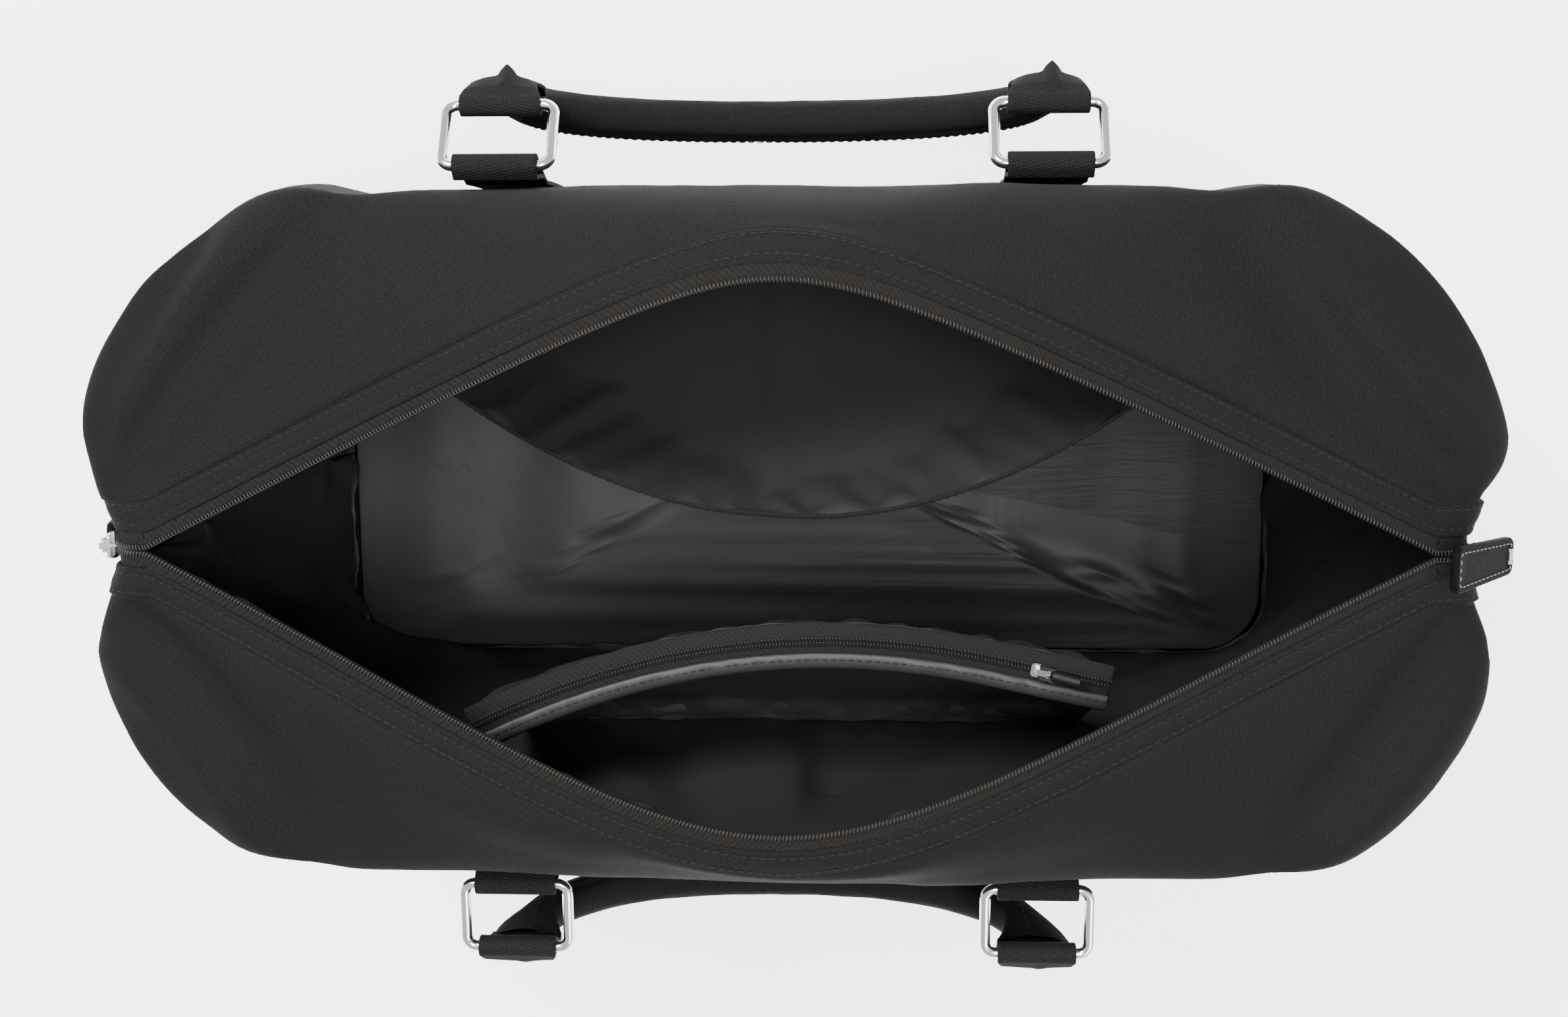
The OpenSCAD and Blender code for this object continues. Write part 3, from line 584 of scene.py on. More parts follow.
def fold_height(side, x, y):
    """Height of the folds over the shoulder at a point seen from above."""
    total = 0.0
    for (ax, ay), (bx, by), tall, wide in FOLDS[side]:
        dx, dy = bx - ax, by - ay
        t = ((x - ax) * dx + (y - ay) * dy) / (dx * dx + dy * dy)
        tc = min(1.1, max(-0.15, t))
        bend = 5.0 * math.sin(3.0 * tc)
        away = ((x - ax) * dy - (y - ay) * dx) / math.hypot(dx, dy) - bend
        fade = smooth((tc + 0.15) / 0.35) * smooth((1.15 - tc) / 0.3)
        end = math.hypot(x - ax - dx * tc, y - ay - dy * tc) - abs(away + bend)
        total += tall * fade * math.exp(-((away / wide) ** 2)) * math.exp(-((max(0, end) / wide) ** 2))
    return FOLD_GAIN * total


def slack(side, grid):
    """A panel with its folds, its sag and the slow waves of slack cloth."""
    seed, least = PANEL_SEED[side], DEEPEST[side]
    out = outward(grid, np.array([0, 0, 120.0]))
    rows, n = grid.shape[:2]
    add = np.zeros((rows, n))
    for j in range(rows):
        for i in range(n):
            x, y, z = grid[j, i]
            edge = smooth(j / 5) * smooth((rows - 1 - j) / 8)
            ends = smooth(min(i, n - 1 - i) / 6) if z < SHOULDER_H - 60 else 1.0
            share = smooth((z - 150) / 60)
            big = 3.2 * rough_noise(x, y, z, 95, seed) + 1.5 * rough_noise(x, y, z, 38, seed + 7)
            ripples = 0.35 * rough_noise(x, y, z, 14, seed + 3)
            sag = -3.0 * math.exp(-(((z - 70) / 45) ** 2)) * (1 - share)
            tuck = -SHOULDER_TUCK[side] * smooth((z - 190) / 40) * smooth((235 - abs(x)) / 90) * smooth(j / 14)
            depth = tuck + big * (0.6 + 0.5 * (1 - share)) + ripples + sag + fold_height(side, x, y) * share
            if depth < least:
                depth = least - 1.8 * math.tanh((least - depth) / 4)
            add[j, i] = edge * ends * depth
    return grid + out * add[..., None]


for side in ("front", "rear"):
    plain = panel_grid(side, PANEL_IN, 0.6, 190, 30, panel_slot, math.pi / 2)
    shaped = slack(side, plain)
    obj = grid_object(side + "_panel_cloth", shaped, outer_cloth, thick=1.2)
    place(obj, "shell", [side + "_panel"])
    as_sheet(shaped)

# -------------------------------------- end gussets and base
for end, s in (("left", -1.0), ("right", 1.0)):
    rows = [(ZIP_END_H - 0.4, 0)] + [r for r in wall_rows(math.pi / 2) if r[0] <= ZIP_END_H - 1]
    grid = []
    for z, turn in rows:
        half = FACING_OUT if z > ZIP_END_H - 0.5 else panel_slot(z, PANEL_IN) + 0.4
        line = []
        for i in range(41):
            y = half * (1 - i / 20)
            inset = 1.0 if turn == 0 else EDGE_R - (EDGE_R - 1.0) * math.cos(turn)
            height = z if turn == 0 else EDGE_R - (EDGE_R - 1.0) * math.sin(turn)
            puff = 1.6 * rough_noise(s * 200, y, z, 45, 5.0) * smooth(z / 30) * (1 - abs(i / 20 - 1) ** 3)
            line.append((s * (half_l(z) - inset - draw_in(y, z) + puff), y, height))
        grid.append(line)
    grid = np.array(grid)
    obj = grid_object(end + "_gusset_cloth", grid, gusset_cloth, thick=1.0)
    place(obj, "shell", [end + "_end_gusset"])
    as_sheet(grid)

# the straight half length and half depth above the base's edge, and its corner radius
inner_r = corner(EDGE_R)
inner_a, inner_b = half_l(EDGE_R) - inner_r, half_d(EDGE_R) - inner_r


def base_grid(inset, z, rings=14, sides=96):
    """Flat disc with the base's rounded outline."""
    out = []
    for j in range(rings + 1):
        k = j / rings
        line = []
        for i in range(sides):
            g = 2 * math.pi * i / sides
            c, s = math.cos(g), math.sin(g)
            r = inner_r - inset
            x, y = math.copysign(inner_a, c) + r * c, math.copysign(inner_b, s) + r * s
            line.append((x * k, y * k, z))
        out.append(line)
    return np.array(out)


base = base_grid(EDGE_R - 0.4, 0.7)
obj = grid_object("base_cloth", base, gusset_cloth, closed=True, thick=1.2)
place(obj, "shell", ["base_panel"])
as_sheet(base, disc=True)

# -------------------------------------- facing, tape and coil round the mouth
def zip_line(side, d):
    """A line beside the zip with its direction across, away from the zip, and its outward normal."""
    a, b = rail(side, d, 0.0), rail(side, d + 0.4, 0.0)
    p, q = resample(a, 1.0, b)
    t = unit(np.gradient(p, axis=0))
    across = unit(q - p)
    across = unit(across - t * np.sum(across * t, axis=1, keepdims=True))
    up = np.cross(t, across)
    up *= np.sign(np.sum(up[:, 2] + 0.5 * np.abs(up[:, 0])))
    return p, across, up


def coil_line(p, across, up, middle, half_w, low, half_h, phase=0.0):
    """Centre line of a zip coil: a nylon helix of ten points a turn, its turns flattened."""
    p, across, up = resample(p, 0.13, across, up)
    turn = 2 * math.pi * np.arange(len(p)) / 10
    wave = np.sign(np.cos(turn)) * np.abs(np.cos(turn)) ** 0.7
    return p + across * (middle + half_w * wave)[:, None] + up * (low + half_h * np.sin(turn + phase))[:, None]


# the facing is a folded strip: rolled at both edges, lightly puffed between its two stitch rows
STITCH_NEAR, STITCH_FAR = FACING_IN + 3.2, FACING_IN + 9.9
FACING_PROFILE = [
    (FACING_IN + 0.5, 1.5), (FACING_IN + 0.1, 0.9), (FACING_IN, 0.2), (FACING_IN + 0.3, -0.4),
    (FACING_IN + 1.2, -0.7), (FACING_IN + 2.2, -0.65), (STITCH_NEAR, -0.35), (FACING_IN + 4.6, -0.75),
    (FACING_IN + 6.6, -0.9), (FACING_IN + 8.6, -0.7), (STITCH_FAR, -0.3), (FACING_IN + 10.9, -0.55),
    (FACING_OUT - 0.2, -0.35), (FACING_OUT + 0.1, 0.3), (FACING_OUT, 0.9),
]
for side in ("front", "rear"):
    rails = np.stack([rail(side, d, off) for d, off in FACING_PROFILE], 0)
    ripple = np.array([[0.25 * rough_noise(*p, 16, 2.0) for p in line] for line in rails])
    rails[2:-2, :, 2] += ripple[2:-2]
    obj = grid_object(side + "_zip_facing_cloth", rails, facing_cloth, flip=side == "front", subdivide=1)
    place(obj, "shell", [side + "_zip_facing"])
    parts = []
    for d, lift in ((STITCH_NEAR, 0.42), (STITCH_FAR, 0.40)):
        p, across, up = zip_line(side, d)
        parts += stitch_row(p, up, 2.5, 0.9, 0.3, lift)
    place(joined(side + "_facing_stitches", parts, thread), "shell")
    # the woven tape, with the coil's sewing line
    p, across, up = zip_line(side, 0.0)
    cols = [0.2, 1.0, 2.0, 3.2, 4.4, 5.6, TAPE_OUT]
    tape = np.stack([p + across * c - up * (0.5 + 0.12 * math.cos(c)) for c in cols], 0)
    obj = grid_object(side + "_zip_tape_cloth", tape, tape_cloth, thick=0.5)
    place(obj, "shell", [side + "_zip_tape"])
    helix = coil_line(p, across, up, 1.15, 0.85, 0.35, 0.62)
    obj = grid_object(side + "_zip_coil_helix", tube(helix, 0.3, 5), coil_nylon, closed=True)
    place(obj, "shell", [side + "_zip_coil"])
    parts = stitch_row(p + across * 2.5 - up * 0.2, up, 1.6, 0.8, 0.14, 0.05)
    place(joined(side + "_tape_stitches", parts, thread), "shell")

# -------------------------------------- linings, slack satin hung from the tape
def sim_cloth(name, grid, out, frames, grow, gravity, cap_out, cap_in, seed):
    """Cloth simulation of a grid in mm, pinned along its edges; grow is how oversize the cut is.

    Movement along out is capped, so that the cloth keeps clear of what is beside it."""
    rows, n = grid.shape[:2]
    pinned = np.ones((rows, n), bool)
    pinned[1:-1, 1:-1] = False
    start = grid.copy()
    for j in range(1, rows - 1):
        for i in range(1, n - 1):
            wave = 3.2 * rough_noise(*grid[j, i], 34, seed) + 1.8 * rough_noise(*grid[j, i], 13, seed + 4)
            start[j, i] -= out[j, i] * max(0.8, 1.4 + wave)
    obj = grid_object(name + "_sim", start, None)
    obj.vertex_groups.new(name="pin").add(np.flatnonzero(pinned).tolist(), 1.0, "REPLACE")
    mod = obj.modifiers.new("cloth", "CLOTH")
    cloth = mod.settings
    cloth.quality = 6
    cloth.mass = 0.15
    cloth.tension_stiffness = cloth.compression_stiffness = 14
    cloth.shear_stiffness = 7
    cloth.bending_stiffness = 0.02
    cloth.shrink_min = -grow
    cloth.vertex_group_mass = "pin"
    cloth.pin_stiffness = 1.0
    cloth.effector_weights.gravity = gravity
    mod.collision_settings.use_collision = False
    mod.point_cache.frame_start = 1
    mod.point_cache.frame_end = frames
    scene = bpy.context.scene
    for f in range(1, frames + 1):
        scene.frame_set(f)
    got = obj.evaluated_get(bpy.context.evaluated_depsgraph_get()).data
    co = np.zeros(len(got.vertices) * 3)
    got.vertices.foreach_get("co", co)
    move = co.reshape(rows, n, 3) / MM - grid
    bpy.data.objects.remove(obj, do_unlink=True)
    scene.frame_set(1)
    push = np.sum(move * out, axis=2, keepdims=True)
    move += out * (np.clip(push, -cap_in, cap_out) - push)
    size = np.linalg.norm(move, axis=2, keepdims=True)
    return grid + move * np.minimum(1.0, cap_in / np.maximum(size, 1e-6))


# how oversize the linings are cut
LINING_GROW = 0.085
for side, seed in (("front", 2.0), ("rear", 9.0)):
    grid = panel_grid(side, LINING_EDGE, LINING_OFF, 120, 12, lining_slot, math.radians(50))
    out = outward(grid, np.array([0, 0, 120.0]))
    slackened = sim_cloth(side + "_lining", grid, out, 24, LINING_GROW, 0.9, -0.8, 15, seed)
    obj = grid_object(side + "_lining_satin", slackened, satin, thick=0.5, subdivide=1)
    place(obj, "shell", [side + "_lining"])
    as_sheet(slackened)

floor_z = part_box("base_lining")[1].z / MM
floor = base_grid(8.5, floor_z, 22, 120)
# wrinkles of the base lining: they fade out at the rim and stand higher to the right
for j in range(floor.shape[0]):
    for i in range(floor.shape[1]):
        x, y, z = floor[j, i]
        right = smooth((x + 60) / 200)
        fade = smooth((22 - j) / 5)
        long = max(0.0, 1 - abs(rough_noise(x, y, 0, 60, 4.0)) * 3.2)
        short = max(0.0, 1 - abs(rough_noise(x + y, y - x, 0, 38, 8.0)) * 3.0)
        fold = 9.0 * long**2 + 5.0 * short**2
        floor[j, i, 2] = z + fade * (0.4 + right) * fold * 0.6
obj = grid_object("base_lining_satin", floor, satin, closed=True, thick=0.5, subdivide=1)
place(obj, "shell", ["base_lining"])
as_sheet(floor, disc=True)

# -------------------------------------- open pocket on the rear lining
# half width and hem height of the pocket, and how low both pockets reach
SLIP_HALF, SLIP_H, POCKET_LOW = 145.0, 212.0, 88.0
# distance from the bag's outside to the pockets' lower seams
SEAT = LINING_OFF + 2.6
DART_X = -6.0


def slip_hem_y(x):
    """Where the slip pocket's hem hangs in front of the rear lining."""
    return 6 + 41 * ((x - 5) / 122) ** 2


def slip_point(u, v):
    x = u * SLIP_HALF
    low, hem = half_d(POCKET_LOW) - SEAT, slip_hem_y(x)
    dart = 3.0 * math.exp(-(((x - DART_X) / 7) ** 2)) * smooth(v * 6)
    z = SLIP_H + (POCKET_LOW - SLIP_H) * v - 3.5 * math.exp(-(((x - DART_X) / 16) ** 2)) * (1 - v)
    return x, hem + (low - hem) * v**1.2 + dart, z


def lattice(point, cols, rows):
    return np.array([[point(2 * i / cols - 1, j / rows) for i in range(cols + 1)] for j in range(rows + 1)])


grid = lattice(slip_point, 80, 36)
out = np.broadcast_to(np.array([0, -1.0, 0.0]), grid.shape)
slip = sim_cloth("slip", grid, out, 24, 0.05, 0.8, 7, 9, 21.0)
pocket = grid_object("slip_pocket_satin", slip, satin, thick=0.5, subdivide=1)
place(pocket, "shell", ["slip_pocket"])
# the hem's binding, as drop below the hem and distance in front of it, ruffled by its stitches
band = [(0.0, 1.0), (0.0, -1.1), (0.5, -1.4), (2.5, -1.5), (6.0, -1.4), (8.0, -1.0), (8.2, -0.3)]
hem_line = slip[0]
hem_grid = np.stack([hem_line + np.array([0, off * 0.7, -drop]) for drop, off in band], 0)
ruffle = [0.35 * math.sin(x * 0.9) * (0.4 + 0.6 * abs(rough_noise(x, 0, 0, 30, 1.0))) for x in hem_line[:, 0]]
hem_grid[1:, :, 1] += ruffle
hem = grid_object("slip_pocket_hem", hem_grid, binding_cloth, thick=0.7, subdivide=1)
place(hem, "shell", ["slip_pocket_binding"])
parts = []
for drop in (2.4, 6.2):
    parts += stitch_row(hem_line + np.array([0, -1.9, -drop]), [0, -1.0, 0.15], 2.0, 1.1, 0.24, 0.1)
place(joined("slip_pocket_stitches", parts, pocket_thread), "shell")
# the dart's seam runs down the column of the grid nearest to the dart
dart_line = slip[3:34, 38] + np.array([0, -0.6, 0.3])
parts = stitch_row(dart_line, [0, -0.9, 0.4], 3.0, 1.6, 0.3, 0.25)
place(joined("slip_pocket_dart_stitches", parts, pocket_thread), "shell")
as_sheet(slip)

# -------------------------------------- zipped pocket on the front lining
# half width of the pocket, and the height and the furthest place of its zip
POCKET_HALF, POCKET_ZIP_H, RIDGE_Y = 124.0, 205.0, -44.0
# where the zip's bow is furthest in, its half length, where it runs straight, and its fall to left and right
RIDGE_X, RIDGE_HALF, STRAIGHT_X, FALL_LEFT, FALL_RIGHT = 15.0, 135.0, 80.0, 33.0, 30.0


def ridge(x):
    """Where the zipped pocket's zip lies: a bow, then a straight run to the right end."""
    bent = min(x, STRAIGHT_X)
    fall = FALL_LEFT if bent < RIDGE_X else FALL_RIGHT
    slope = 2 * fall * (bent - RIDGE_X) / RIDGE_HALF**2
    return RIDGE_Y - fall * ((bent - RIDGE_X) / RIDGE_HALF) ** 2 - slope * (x - bent)


def pouch_point(way):
    """Points of the pocket's inner face (way 1) or outer face (way -1)."""
    def at(u, v):
        x = u * POCKET_HALF
        low = -(half_d(POCKET_LOW) - SEAT) + (3 if way > 0 else 0)
        top = ridge(x) + way * 7.4
        tuck = 1.8 * smooth(v * 8) * (abs(rough_noise(x, 0, 0, 17, 6.0)) * 2 - 0.4)
        z = POCKET_ZIP_H - 0.4 + (POCKET_LOW - POCKET_ZIP_H) * v
        return x, top + (low - top) * v**1.15 + way * tuck, z

    return at


for way, name, cad in ((1, "near", "inner"), (-1, "far", "outer")):
    grid = lattice(pouch_point(way), 80, 30)
    out = np.broadcast_to(np.array([0, float(way), 0.0]), grid.shape)
    face = sim_cloth(name, grid, out, 22, 0.05, 0.7, 6, 8, 31.0 + way)
    obj = grid_object(f"zip_pocket_{name}_satin", face, satin, thick=0.5, subdivide=1)
    place(obj, "shell", [f"zip_pocket_{cad}_panel"])
    as_sheet(face)

xs = np.linspace(-POCKET_HALF, POCKET_HALF, 240)
ridge_line = np.array([(x, ridge(x), POCKET_ZIP_H) for x in xs])
up = np.broadcast_to(np.array([0, 0, 1.0]), ridge_line.shape)
across = unit(np.cross(up, unit(np.gradient(ridge_line, axis=0))))
cols = [-7.2, -5.5, -3.5, -1.8, -0.4, 0.4, 1.8, 3.5, 5.5, 7.2]
strip = np.stack([ridge_line + across * c + up * (0.1 - 0.02 * c * c) for c in cols], 0)
obj = grid_object("pocket_zip_tape_cloth", strip, pocket_tape, thick=0.5)
place(obj, "shell", ["pocket_zip_tape"])
helices = []
for way in (-1, 1):
    rings = tube(coil_line(ridge_line, across, up, way * 0.85, way * 0.85, 1.0, 0.55, way), 0.28, 5)
    helices.append((rings.reshape(-1, 3), tube_faces(*rings.shape[:2])))
place(joined("pocket_zip_coil_helix", helices, coil_nylon), "shell", ["pocket_zip_coil"])
# folded satin hem in front of the zip, puckered by its stitches: distance across, height, share of the pucker
HEM_PROFILE = [(0.0, 0.2, 0), (0.1, 0.9, 0.5), (1.0, 1.2, 1), (2.6, 1.1, 1.4),
               (4.4, 0.7, 1.2), (6.0, -0.4, 0.8), (6.6, -2.2, 0.3), (6.8, -5.0, 0)]
pucker = np.array([0.9 * abs(rough_noise(x, 3.0, 0, 11, 2.0)) for x in xs])[:, None]
lines = [ridge_line - across * (4.6 + c) + up * (h + pucker * k) for c, h, k in HEM_PROFILE]
obj = grid_object("pocket_hem_near", np.stack(lines, 0), satin, thick=0.5, subdivide=1)
place(obj, "shell")
parts = stitch_row(ridge_line - across * 7.0 + up * 1.6, up, 2.2, 1.2, 0.22, 0.3)
place(joined("pocket_hem_near_stitches", parts, pocket_thread), "shell")

# -------------------------------------- webbing straps and their loops
# webbing's width and thickness, the ring's wire, and the play between them
LOOP_W, WEB_T, WIRE, BAR_PLAY = 31.0, 1.8, 4.2, 0.35
# height of the strap loops, their distance from the wall, and the rings' length
LOOP_H, LOOP_OUT, RING_L = 222.0, 8.0, 26.2
# how far the rings hang below level
RING_TILT = {"front": math.radians(3), "rear": math.radians(33)}
STRAP_SHIFT, STRAP_GAP = -4.5, 201.0
LOOP_R = WIRE / 2 + BAR_PLAY + WEB_T / 2
LOOP_Y = half_d(LOOP_H) + LOOP_OUT


def strap_x(end):
    return STRAP_SHIFT + (-0.5 if end == "left" else 0.5) * STRAP_GAP


def ribbon(line, width, centre_x, mirror, cols=16):
    """A webbing strip: a line of (outward, up) points swept along X."""
    line = np.array(line, float)
    xs = [centre_x + (2 * i / cols - 1) * width / 2 for i in range(cols + 1)]
    grid = np.stack([np.insert(line, 0, x, axis=1) for x in xs], 1)
    grid[..., 1] *= mirror
    return grid


def webbing_piece(name, grid):
    obj = grid_object(name, grid, webbing, thick=WEB_T)
    soften_edges(obj, 0.5)
    return obj


def strap_stitches(points, normal, lift):
    return stitch_row(np.array(points), normal, 2.6, 1.0, 0.3, lift)


def arc(cy, cz, r, a0, a1, n=18):
    """Points round a centre from angle a0 to a1, in degrees."""
    turns = [math.radians(a0 + (a1 - a0) * i / n) for i in range(n + 1)]
    return [(cy + r * math.cos(a), cz + r * math.sin(a)) for a in turns]


# the strap's inner face lies this far off the wall, and its stitches this far in from its edges
STRAP_OFF, STITCH_OFF, STITCH_IN = 2.4, 3.4, 3.0
for side, mirror in MIRROR.items():
    for end in ("left", "right"):
        x0 = strap_x(end)
        up_wall = [(half_d(z) + STRAP_OFF, z) for z in np.linspace(13, 200, 30)]
        over = arc(LOOP_Y, LOOP_H, LOOP_R, -62, 128)
        back = [(half_d(224) + 3.4, 222.5), (half_d(216) + 4.2, 214.0), (half_d(206) + 4.3, 205.0)]
        obj = webbing_piece(f"{side}_{end}_strap_webbing", ribbon(up_wall + over + back, LOOP_W, x0, mirror))
        place(obj, "shell", [f"{side}_{end}_strap"])

        def stitch_at(k, z):
            return x0 + k * (LOOP_W / 2 - STITCH_IN), mirror * (half_d(z) + STITCH_OFF), z

        parts = []
        for k in (-1, 1):
            parts += strap_stitches([stitch_at(k, z) for z in np.linspace(20, 196, 60)], [0, mirror, 0.1], 0.15)
        for z in (190.0, 196.0):
            parts += strap_stitches([stitch_at(k, z) for k in np.linspace(-1, 1, 20)], [0, mirror, 0.1], 0.15)
        place(joined(f"{side}_{end}_strap_stitches", parts, thread), "shell")

# -------------------------------------- rolled handles and the tabs that hold the rings
# the grip's drop below the bars, where it starts, its radius, and how square its path is
GRIP_DROP, GRIP_START, GRIP_R, GRIP_POWER = 68.0, 17.2, 8.0, 2.3
# half width and half thickness of its flat ends, and the share of the path over which they turn round
START_WIDE, START_THICK, MORPH = 14.0, 4.5, 0.22
# how far out its ends lie and how far in its middle leans
TONGUE_OUT, HANDLE_LEAN = 4.5, 5.0
# the tabs' folded top: a narrow peak on a low shoulder
PEAK_OUT, SHOULDER_OUT = {"front": 0.6, "rear": 4.5}, {"front": 1.0, "rear": 3.0}
# where the cover's seam runs round the grip, and the dent and the lip beside it
SEAM_TURN, DENT_TURN, LIP_TURN = 4.62, 4.2, 4.5


def grip_path(t):
    """Centre line of a grip from the ring bars; t runs from -1 at its left end to 1 at its right end."""
    c, e = math.sin(math.pi / 2 * t), 2 / GRIP_POWER
    k = abs(math.cos(math.pi / 2 * t)) ** e
    x = math.copysign(STRAP_GAP / 2 * abs(c) ** e, c)
    y = TONGUE_OUT * t * t - HANDLE_LEAN * (1 - t * t)
    return np.array([x + STRAP_SHIFT, y, -GRIP_START - (GRIP_DROP - GRIP_START) * k])


def grip_ring(t, sides=32):
    """Points round a grip's cover at t, and the point of its seam."""
    c, out = grip_path(t), np.array([0, 1.0, 0])
    d = np.array([0, 0, math.copysign(1, t)]) if abs(t) > 0.999 else unit(grip_path(t + 0.004) - grip_path(t - 0.004))
    across = unit(np.cross(out, d))
    ease = smooth((1 - abs(t)) / MORPH)
    ws = START_WIDE + (GRIP_R - START_WIDE) * ease
    wo = START_THICK + (GRIP_R - START_THICK) * ease
    line = []
    for i in range(sides):
        g = 2 * math.pi * i / sides
        dent = 1 - 0.13 * math.exp(-(((g - DENT_TURN) / 0.16) ** 2)) + 0.05 * math.exp(-(((g - LIP_TURN) / 0.2) ** 2))
        crumple = 0.3 * rough_noise(c[0], 30 * math.cos(g), 30 * math.sin(g), 13, 5.0)
        crumple += 0.9 * (1 - ease) * rough_noise(c[0], 20 * math.cos(g), c[2], 7, 1.0)
        line.append(c + across * (ws * dent + crumple) * math.cos(g) + out * (wo * dent + crumple) * math.sin(g))
    g = SEAM_TURN
    return line, c + across * ws * 1.02 * math.cos(g) + out * wo * 1.02 * math.sin(g)


def tab_grid(side, end, bar_y, bar_h):
    """A handle's tab: folded over the ring's bar and sewn to the grip, with a peak at its fold."""
    x0, mirror, tongue = strap_x(end), MIRROR[side], bar_y + TONGUE_OUT
    inner = [(tongue - 1.6, bar_h - 20), (tongue - 2.0, bar_h - 14), (bar_y + 1.0, bar_h - 8.0)]
    outer = [(bar_y + LOOP_R + 1.6, bar_h - 1.0)]
    outer += [(tongue + 2.6, bar_h - 7), (tongue + 2.6, bar_h - 14), (tongue + 2.0, bar_h - 20)]
    grid = ribbon(inner + arc(bar_y, bar_h, LOOP_R, 195, 20) + outer, LOOP_W - 1, x0, mirror)
    share = (grid[..., 0] - x0) / (LOOP_W / 2)
    high = np.exp(-(((np.arange(len(grid)) - (len(grid) - 3)) / 1.1) ** 2))[:, None]
    narrow = 1 - 0.08 * np.clip((bar_h - 8 - grid[..., 2]) / 12, 0, 1)
    grid[..., 0] = x0 + (grid[..., 0] - x0) * narrow * (1 - 0.18 * high)
    tip = np.exp(-(((share - 0.12) / 0.17) ** 2))
    grid[..., 1] += mirror * high * (PEAK_OUT[side] * tip + SHOULDER_OUT[side] * (1 - np.abs(share) ** 2.5))
    return grid


for side, mirror in MIRROR.items():
    bar_y = LOOP_Y + RING_L * math.cos(RING_TILT[side])
    bar_h = LOOP_H - RING_L * math.sin(RING_TILT[side])
    rings, seam = zip(*(grip_ring(2 * j / 96 - 1) for j in range(97)))
    rings, seam = (np.array(a) + np.array([0, bar_y, bar_h]) for a in (rings, seam))
    rings[..., 1] *= mirror
    seam[:, 1] *= mirror
    obj = grid_object(f"{side}_grip_cover", rings, facing_cloth, closed=True)
    place(obj, f"{side}_handle", [f"{side}_handle_grip"])
    parts = stitch_row(seam, unit(seam - rings.mean(1)), 2.6, 1.0, 0.28, 0.2)
    place(joined(f"{side}_grip_stitches", parts, thread), f"{side}_handle")
    for end in ("left", "right"):
        obj = webbing_piece(f"{side}_handle_{end}_tab_webbing", tab_grid(side, end, bar_y, bar_h))
        place(obj, f"{side}_handle", [f"{side}_handle_{end}_tab"])
        parts = []
        for z in (-9.5, -13.0):
            y = mirror * (bar_y + TONGUE_OUT + 3.5)
            line = [(strap_x(end) + k * 12, y, bar_h + z) for k in np.linspace(-1, 1, 20)]
            parts += strap_stitches(line, [0, mirror, 0.0], 0.12)
        place(joined(f"{side}_handle_{end}_tab_stitches", parts, thread), f"{side}_handle")

# -------------------------------------- leather pull tabs
# the pin's distance from the turn's centre: coil, slider plate, arch and pin's place; and the link's length
PIN_R, LINK_L = ARC_R + 1.25 + 1.1 + 2.0, 9.0
# length ahead of the link and behind it, width at the free end and at the link, and corner radius
TAB_L, TAB_BACK, TAB_WIDE, TAB_NARROW, TAB_ROUND = 38.0, 3.0, 16.2, 13.6, 3.4
# the tab's section: how far in from the edge, and how high; its faces close on a middle point
TAB_SECTION = [(2.2, 1.25), (0.9, 1.55), (0.25, 1.35), (0.0, 0.9)]
TAB_MIDDLE, TAB_FACE, TAB_STITCH = np.array([16.0, 0]), 1.3, 1.45


def tab_outline(inset, n=7):
    """Rounded outline of a leather pull tab, drawn in by inset."""
    ends = [(-TAB_BACK, -TAB_NARROW / 2), (TAB_L, -TAB_WIDE / 2), (TAB_L, TAB_WIDE / 2), (-TAB_BACK, TAB_NARROW / 2)]
    out = []
    for (x, y), start in zip(ends, (180, 270, 0, 90)):
        cx, cy = x - math.copysign(TAB_ROUND, x), y - math.copysign(TAB_ROUND, y)
        for i in range(n):
            g = math.radians(start + 90 * i / (n - 1))
            out.append((cx + (TAB_ROUND - inset) * math.cos(g), cy + (TAB_ROUND - inset) * math.sin(g)))
    return np.array(out)


def at_height(outline, z):
    return np.concatenate([outline, np.full((len(outline), 1), z)], 1)


def tab_rings():
    """Rings of the tab from the middle of its top face, round its edge, to the middle of its bottom face."""
    rings = [at_height(tab_outline(inset), z) for inset, z in TAB_SECTION]
    rings += [at_height(tab_outline(inset), -z) for inset, z in reversed(TAB_SECTION)]
    for k in (0.75, 0.45, 0.15, 0.02):
        small = TAB_MIDDLE + k * (tab_outline(2.2) - TAB_MIDDLE)
        rings = [at_height(small, TAB_FACE)] + rings + [at_height(small, -TAB_FACE)]
    return np.stack(rings, 0)


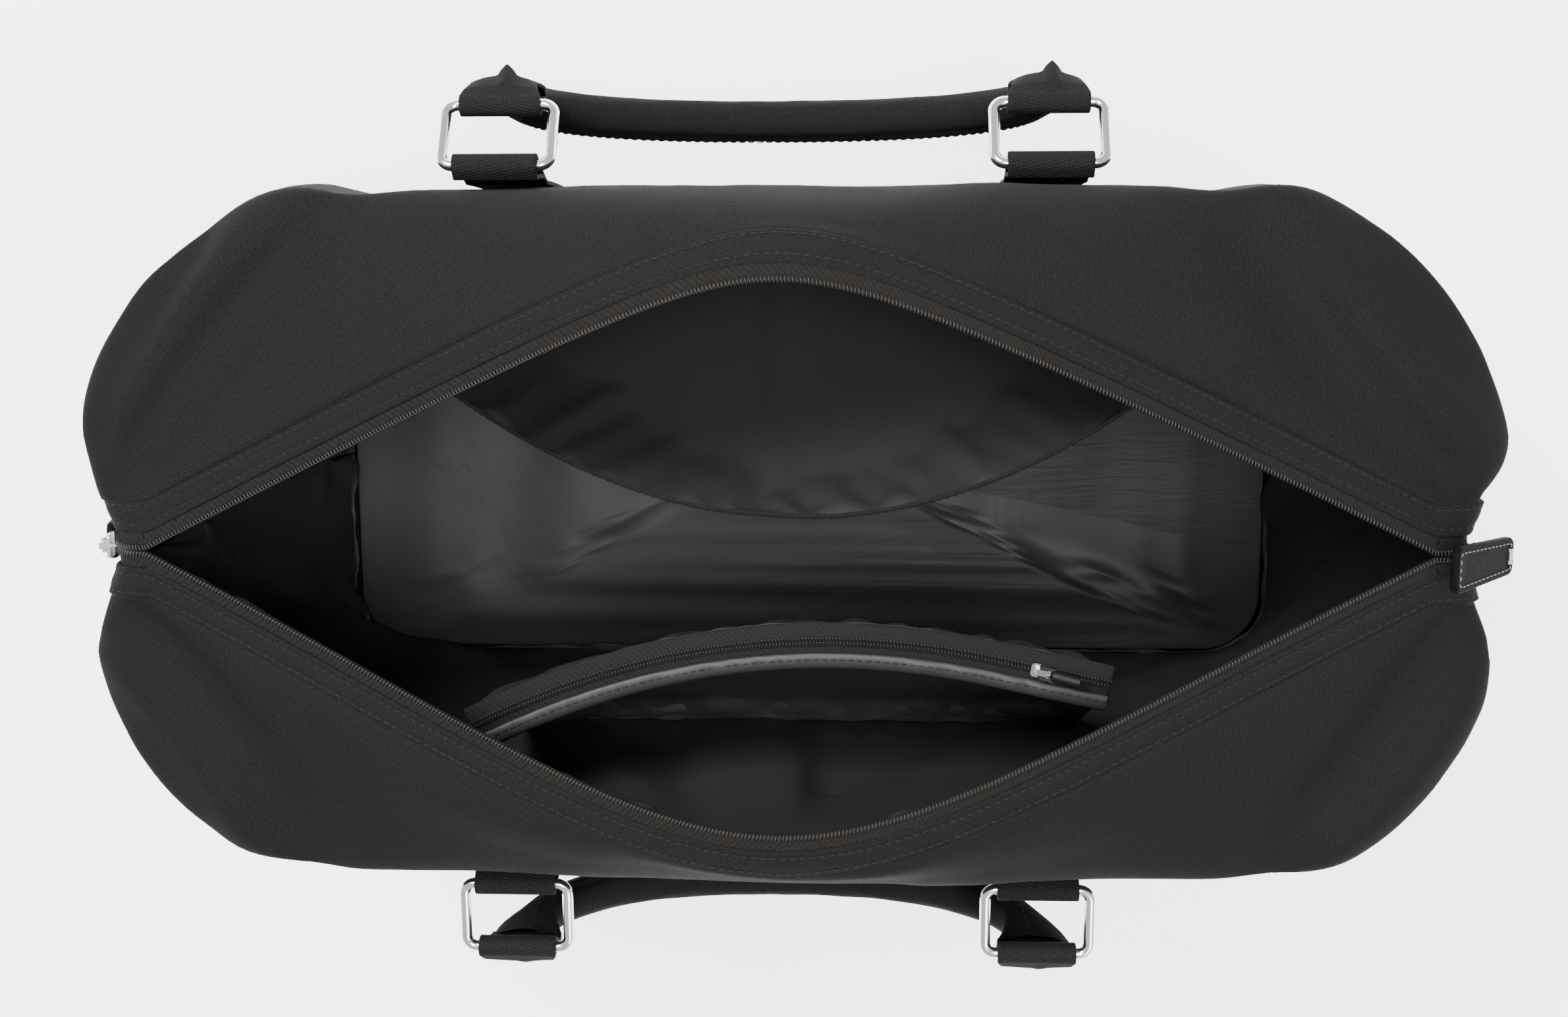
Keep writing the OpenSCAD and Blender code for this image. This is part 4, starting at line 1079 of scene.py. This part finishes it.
# each end's side along X, and the angles of its slider, link and tab
PULLS = {"left": (-1.0, 80, -80, -80), "right": (1.0, 62, 25, 133)}
for end, (s, slider_angle, link_angle, tab_angle) in PULLS.items():
    a, l, g = math.radians(slider_angle), math.radians(link_angle), math.radians(tab_angle)
    along = APEX_X + PIN_R * math.sin(a) + LINK_L * math.cos(l)
    origin = np.array([s * along, 0, SHOULDER_H + PIN_R * math.cos(a) + LINK_L * math.sin(l)])
    axes = np.array([[s * math.cos(g), 0, math.sin(g)], [0, 1.0, 0], [-s * math.sin(g), 0, math.cos(g)]])
    obj = grid_object(f"{end}_pull_leather", origin + tab_rings() @ axes, leather, closed=True)
    place(obj, f"{end}_tab_body", [f"{end}_pull_tab"])
    parts, outline = [], tab_outline(2.2)
    outline = np.concatenate([outline, outline[:1]])
    for way in (1, -1):
        parts += stitch_row(origin + at_height(outline, way * TAB_STITCH) @ axes, axes[2] * way, 1.7, 1.2, 0.28, 0.12)
    place(joined(f"{end}_pull_stitches", parts, ivory_thread), f"{end}_tab_body")

# -------------------------------------- metal and other CAD pieces that stay
for obj in list(bpy.context.scene.objects):
    cad = obj.get("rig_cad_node")
    if not cad or obj.type != "MESH":
        continue
    if any(word in cad for word in ("ring", "slider", "link", "stop")):
        obj.data.materials.clear()
        obj.data.materials.append(chrome)
        soften_edges(obj, 0.25, "ANGLE")
    elif cad == "pocket_pull":
        obj.data.materials.clear()
        obj.data.materials.append(cord_sleeve)

# -------------------------------------- floor, light and camera
bpy.ops.mesh.primitive_plane_add(size=60, location=(0, 0, -0.0005))
ground = bpy.context.object
ground.name = "floor"
floor_white = shader("floor_white", (0.93, 0.93, 0.93), 0.95)
floor_sockets = floor_white.node_tree.nodes["Principled BSDF"].inputs
floor_sockets["Emission Color"].default_value = (1, 1, 1, 1)
floor_sockets["Emission Strength"].default_value = 2.2
ground.data.materials.append(floor_white)


def area_light(name, location, target, size, power):
    data = bpy.data.lights.new(name, "AREA")
    data.shape, data.size, data.energy = "DISK", size, power
    obj = bpy.data.objects.new(name, data)
    bpy.context.scene.collection.objects.link(obj)
    obj.location = location
    obj.rotation_euler = (Vector(target) - Vector(location)).to_track_quat("-Z", "Y").to_euler()


area_light("key", (-0.7, 0.9, 1.6), (0, 0, 0.2), 0.7, 62)
area_light("over", (0.12, 0.1, 1.7), (0, 0, 0.1), 0.5, 30)
area_light("fill", (0.9, -1.0, 1.5), (0, 0, 0.2), 1.2, 22)
world = bpy.data.worlds.new("studio")
bpy.context.scene.world = world
world.use_nodes = True
background = world.node_tree.nodes["Background"].inputs
background["Color"].default_value = (1, 1, 1, 1)
background["Strength"].default_value = 0.75

# nearly straight down, from above the rear edge
camera = bpy.data.cameras.new("photo")
camera.sensor_width = 36
camera.lens = 45.4
cam = bpy.data.objects.new("photo_camera", camera)
bpy.context.scene.collection.objects.link(cam)
cam.location = (0.0334, 0.1361, 0.9457)
cam.rotation_euler = (-0.1716, 0.046, -0.0045)
bpy.context.scene.camera = cam
